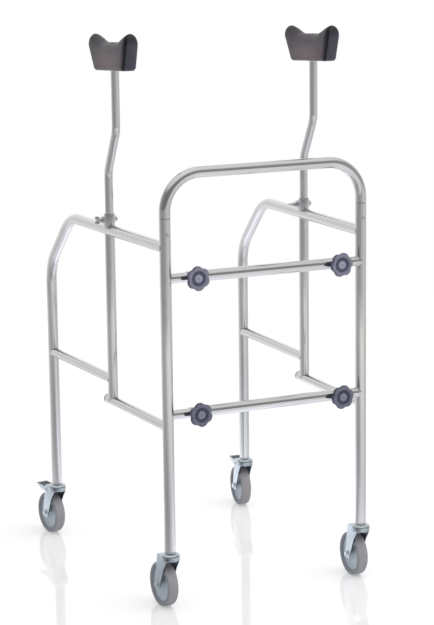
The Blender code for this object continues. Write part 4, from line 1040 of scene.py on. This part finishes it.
for name, axle_line in axle_lines.items():
    end = AXLE_SEAT + 3 * MM
    form = turned([(0, -end), (AXLE_RADIUS, -end), (AXLE_RADIUS, end), (0, end)], 32)
    hexagon(HEAD_RADIUS, HEAD_LENGTH, 0.6 * MM, form, Matrix.Translation((0, 0, AXLE_SEAT)))
    turned(in_mm([(0, 0), (6.5, 0), (6.5, 0.8), (0, 0.8)], 0, AXLE_SEAT), 40, form)
    far_side = Matrix.Rotation(math.pi, 4, "X")
    hexagon(HEAD_RADIUS, 3.4 * MM, 0.6 * MM, form, far_side @ Matrix.Translation((0, 0, AXLE_SEAT)))
    turned(in_mm([(0, 3), (5.2, 3), (4.9, 4.2), (3.6, 5), (0, 5)], 0, AXLE_SEAT), 40, form, far_side)
    finished(f"castor_axle_bolt_{name}", form, steel, f"castor_{name}_fork", [f"castor_{name}_axle"], axle_line)


# Brake pedals, on the rear castors only: a pressed zinc-plated tread that rocks on a cross pin through the fork.
# Stepping on the raised lip presses the sole on the tyre; three pressed ribs keep the shoe from slipping.
PEDAL_PIN_SETBACK, PEDAL_PIN_HEIGHT = 27 * MM, 110 * MM
PEDAL_HALF_WIDTH = 13.5 * MM
# A black non-slip coat lies on the tread, here nearly whole.
TREAD_COAT = 0.92
RIB_LOW, RIB_HIGH = (-10 * MM, -1.1 * MM, -0.8 * MM), (10 * MM, 1.1 * MM, 0.9 * MM)

for name, stand in CASTORS.items():
    if not name.startswith("rear"):
        continue
    pin_place = stand @ Matrix.Translation((0, PEDAL_PIN_SETBACK, PEDAL_PIN_HEIGHT))
    outline = [(-4.2, -2.1), (-2.1, -4.2), (4.2, -6), (30, -6), (55, 3), (55, 7), (9, 7)]
    outline += [(2.1, 4.2), (-2.1, 4.2), (-4.2, 2.1)]
    across = Matrix.Translation((-PEDAL_HALF_WIDTH, 0, 0)) @ FROM_SIDE
    form = sheet_part(in_mm(outline), 2 * PEDAL_HALF_WIDTH, 0.9 * MM, 0, None, across)
    for step in range(3):
        along = Matrix.Translation((0, (28 + 8 * step) * MM, 6.8 * MM))
        block(RIB_LOW, RIB_HIGH, 0.5 * MM, form, along)
    form.normal_update()
    darkening = [TREAD_COAT if vert.normal.z > 0.3 and vert.co.y > 8 * MM else 0.0 for vert in form.verts]
    body = f"castor_{name}_pedal"
    finished(f"brake_pedal_{name}", form, zinc, body, [body], pin_place, {"coat_and_painted_shade": darkening})

    profile = in_mm([(0, -1.5), (2.6, -1.4), (4.2, -0.6), (4.5, 0), (2.5, 0)], 0, -AXLE_SEAT)
    profile += [(reach, -height) for reach, height in profile[::-1]]
    place = pin_place @ facing((0, 0, 0), ACROSS, UP)
    body, node = f"castor_{name}_fork", f"castor_{name}_pedal_pin"
    finished(f"brake_pedal_pin_{name}", turned(profile, 32), steel, body, [node], place)


# The studio: a white glossy paper sweep on the floor, a white backdrop, and a camera at the photograph's place.
# The camera's place and lens come from fitting the tubes and castors to the photograph.
CAMERA_PLACE = (-2.0544, -4.44739, 1.5524)
CAMERA_RIGHT = Vector((0.90314, -0.42918, -0.01200))
CAMERA_UP = Vector((0.09389, 0.17014, 0.98094))
CAMERA_LENS = 122.42

lens = bpy.data.cameras.new("photo_camera")
lens.lens = CAMERA_LENS
lens.shift_x, lens.shift_y = -0.0008, 0.0008
lens.clip_end = 60
camera = shown("photo_camera", lens)
back = CAMERA_RIGHT.cross(CAMERA_UP).normalized()
up = back.cross(CAMERA_RIGHT).normalized()
turn = Matrix((up.cross(back), up, back)).transposed()
camera.matrix_world = Matrix.Translation(CAMERA_PLACE) @ turn.to_4x4()
bpy.context.scene.camera = camera

PAPER_RADIUS = 3.4
form = bmesh.new()
bmesh.ops.create_circle(form, cap_ends=True, segments=96, radius=PAPER_RADIUS)
floor = shown("paper_floor", meshed("paper_floor", form))


def shares_of_turn(greys):
    """Grey levels by bearing, as (share of a full turn to the right from straight ahead, grey), in order."""
    return sorted((0.5 - bearing / 360, grey) for bearing, grey in greys)


def grey_ramp(tree, share, greys):
    """A ramp that goes once round the walker; the bearings start at the camera and grow to the picture's right."""
    stops = shares_of_turn(greys)
    node = add_node(tree, "ValToRGB", None, {"Fac": share})
    while len(node.color_ramp.elements) < len(stops):
        node.color_ramp.elements.new(0.5)
    for element, (position, grey) in zip(node.color_ramp.elements, stops):
        element.position = position
        element.color = (grey, grey, grey, 1)
    return node


def unlit_ray(tree, ray):
    """1 for what the camera sees, straight or through something clear, and 0 for light and reflections."""
    kinds = {0: ray.outputs["Is Camera Ray"], 1: ray.outputs["Is Transmission Ray"]}
    return add_node(tree, "Math", None, kinds, operation="MAXIMUM")


def bearing_share(tree, direction):
    """The share of a full turn to the right, seen from above, from the camera's own heading to a direction."""
    split = add_node(tree, "SeparateXYZ", None, {0: direction})
    azimuth = add_node(tree, "Math", None, {0: split.outputs["X"], 1: split.outputs["Y"]}, operation="ARCTAN2")
    heading = math.atan2(-back.x, -back.y)
    turned_by = add_node(tree, "Math", {1: -heading}, {0: azimuth}, operation="ADD")
    turns = add_node(tree, "Math", {1: 0.5 / math.pi}, {0: turned_by}, operation="MULTIPLY")
    return add_node(tree, "Math", None, {0: turns}, operation="FRACT"), split.outputs["Z"]


# Glossy white paper: bright for the camera; what the metal mirrors of it is a painted reflection that glows unevenly,
# brightest to the right, cooler near the walker and brighter close round it.
PAPER_NEAR_GREYS = [
    (180, 0.95), (150, 0.80), (106, 0.64), (74, 0.74), (47, 0.89), (23, 0.77), (0, 0.53), (-23, 0.37), (-47, 0.39),
    (-74, 0.51), (-106, 0.73), (-130, 0.90), (-155, 1.0), (-180, 0.95),
]
PAPER_FAR_GREYS = [
    (180, 0.98), (150, 0.84), (106, 0.64), (74, 0.74), (47, 1.0), (23, 1.0), (0, 0.93), (-23, 0.62), (-47, 0.48),
    (-74, 0.50), (-106, 0.72), (-130, 0.90), (-155, 1.0), (-180, 0.98),
]
paper = bpy.data.materials.new("glossy_white_paper")
paper.use_nodes = True
tree = paper.node_tree
shader = tree.nodes["Principled BSDF"]
shader.inputs["Base Color"].default_value = linear("#E8E8E8")
shader.inputs["Roughness"].default_value = 0.03
shader.inputs["Emission Color"].default_value = (1, 1, 1, 1)
ray = add_node(tree, "LightPath")
lift = add_node(tree, "Math", {1: 0.3}, {0: unlit_ray(tree, ray)}, operation="MULTIPLY")
tree.links.new(lift.outputs[0], shader.inputs["Emission Strength"])
spot = add_node(tree, "TexCoord").outputs["Object"]
share, _ = bearing_share(tree, spot)
far = add_node(tree, "VectorMath", None, {0: spot}, operation="LENGTH")
warmth = add_node(tree, "MapRange", {"From Min": 0.4, "From Max": 3.0}, {"Value": far})
tint = add_node(tree, "Mix", {6: (0.955, 0.985, 1.045, 1), 7: (1.02, 1.0, 0.965, 1)}, {0: warmth}, data_type="RGBA")
distant = add_node(tree, "MapRange", {"From Min": 1.3, "From Max": 3.0}, {"Value": far})
near_greys = grey_ramp(tree, share, PAPER_NEAR_GREYS)
far_greys = grey_ramp(tree, share, PAPER_FAR_GREYS)
greys = add_node(tree, "Mix", None, {0: distant, 6: near_greys, 7: far_greys}, data_type="RGBA")
lit = add_node(tree, "Mix", {0: 1.0}, {6: greys, 7: tint}, data_type="RGBA", blend_type="MULTIPLY")
# Close round the walker the painted reflection glows brighter than white.
glow = add_node(tree, "MapRange", {"From Min": 0.5, "From Max": 1.1, "To Min": 1.4, "To Max": 1.0}, {"Value": far})
mirrored = add_node(tree, "Emission", None, {"Color": lit, "Strength": glow})
surface = add_node(tree, "MixShader", None, {0: ray.outputs["Is Glossy Ray"], 1: shader, 2: mirrored})
tree.links.new(surface.outputs[0], tree.nodes["Material Output"].inputs["Surface"])
floor.data.materials.append(paper)

# The room: even grey to the diffuse surfaces and white to the camera. The metal mirrors dark walls beside the
# camera, a white backdrop ahead, a dim studio floor beyond the paper and a pale ceiling that brightens overhead.
WALL_GREYS = [
    (180, 1.0), (155, 0.95), (130, 0.80), (106, 0.45), (50, 0.28), (0, 0.20), (-60, 0.25), (-106, 0.45), (-129, 0.80),
    (-155, 1.0), (-180, 1.0),
]
STUDIO_FLOOR_GREYS = [
    (180, 1.0), (130, 0.75), (106, 0.66), (74, 0.72), (47, 0.69), (23, 0.58), (0, 0.45), (-23, 0.38), (-74, 0.36),
    (-106, 0.60), (-130, 0.86), (-180, 1.0),
]
world = bpy.data.worlds.new("studio_room")
bpy.context.scene.world = world
world.use_nodes = True
tree = world.node_tree
tree.nodes.clear()
ray = add_node(tree, "LightPath")
share, height = bearing_share(tree, add_node(tree, "TexCoord").outputs["Generated"])
walls = grey_ramp(tree, share, WALL_GREYS)
below = grey_ramp(tree, share, STUDIO_FLOOR_GREYS)
horizon = add_node(tree, "MapRange", {"From Min": -0.07, "From Max": -0.03}, {"Value": height})
room = add_node(tree, "Mix", None, {0: horizon, 6: below, 7: walls}, data_type="RGBA")
span = {"From Min": 0.6, "From Max": 1.0, "To Min": 0.68, "To Max": 0.95}
overhead = add_node(tree, "MapRange", span, {"Value": height})
cornice = add_node(tree, "MapRange", {"From Min": 0.5, "From Max": 0.68}, {"Value": height})
room = add_node(tree, "Mix", None, {0: cornice, 6: room, 7: overhead}, data_type="RGBA")
ambient = add_node(tree, "Mix", {6: (0.6, 0.6, 0.6, 1)}, {0: ray.outputs["Is Glossy Ray"], 7: room}, data_type="RGBA")
seen = add_node(tree, "Mix", {7: (1, 1, 1, 1)}, {0: unlit_ray(tree, ray), 6: ambient}, data_type="RGBA")
sky = add_node(tree, "Background", {"Strength": 1.0}, {"Color": seen})
add_node(tree, "OutputWorld", None, {"Surface": sky.outputs[0]})

# One very large soft box hangs overhead, a little to the camera's right; the metal mirrors the pale ceiling instead.
BOX_PLACE = (0.9, -0.9, 3.4)
lamp = bpy.data.lights.new("overhead_soft_box", "AREA")
lamp.size = 4.5
lamp.energy = 56
box = shown("overhead_soft_box", lamp)
box.visible_glossy = False
aim = (Vector((0, 0, 0.6)) - Vector(BOX_PLACE)).to_track_quat("-Z", "Y")
box.matrix_world = Matrix.Translation(BOX_PLACE) @ aim.to_matrix().to_4x4()

bpy.context.scene.view_settings.view_transform = "Standard"
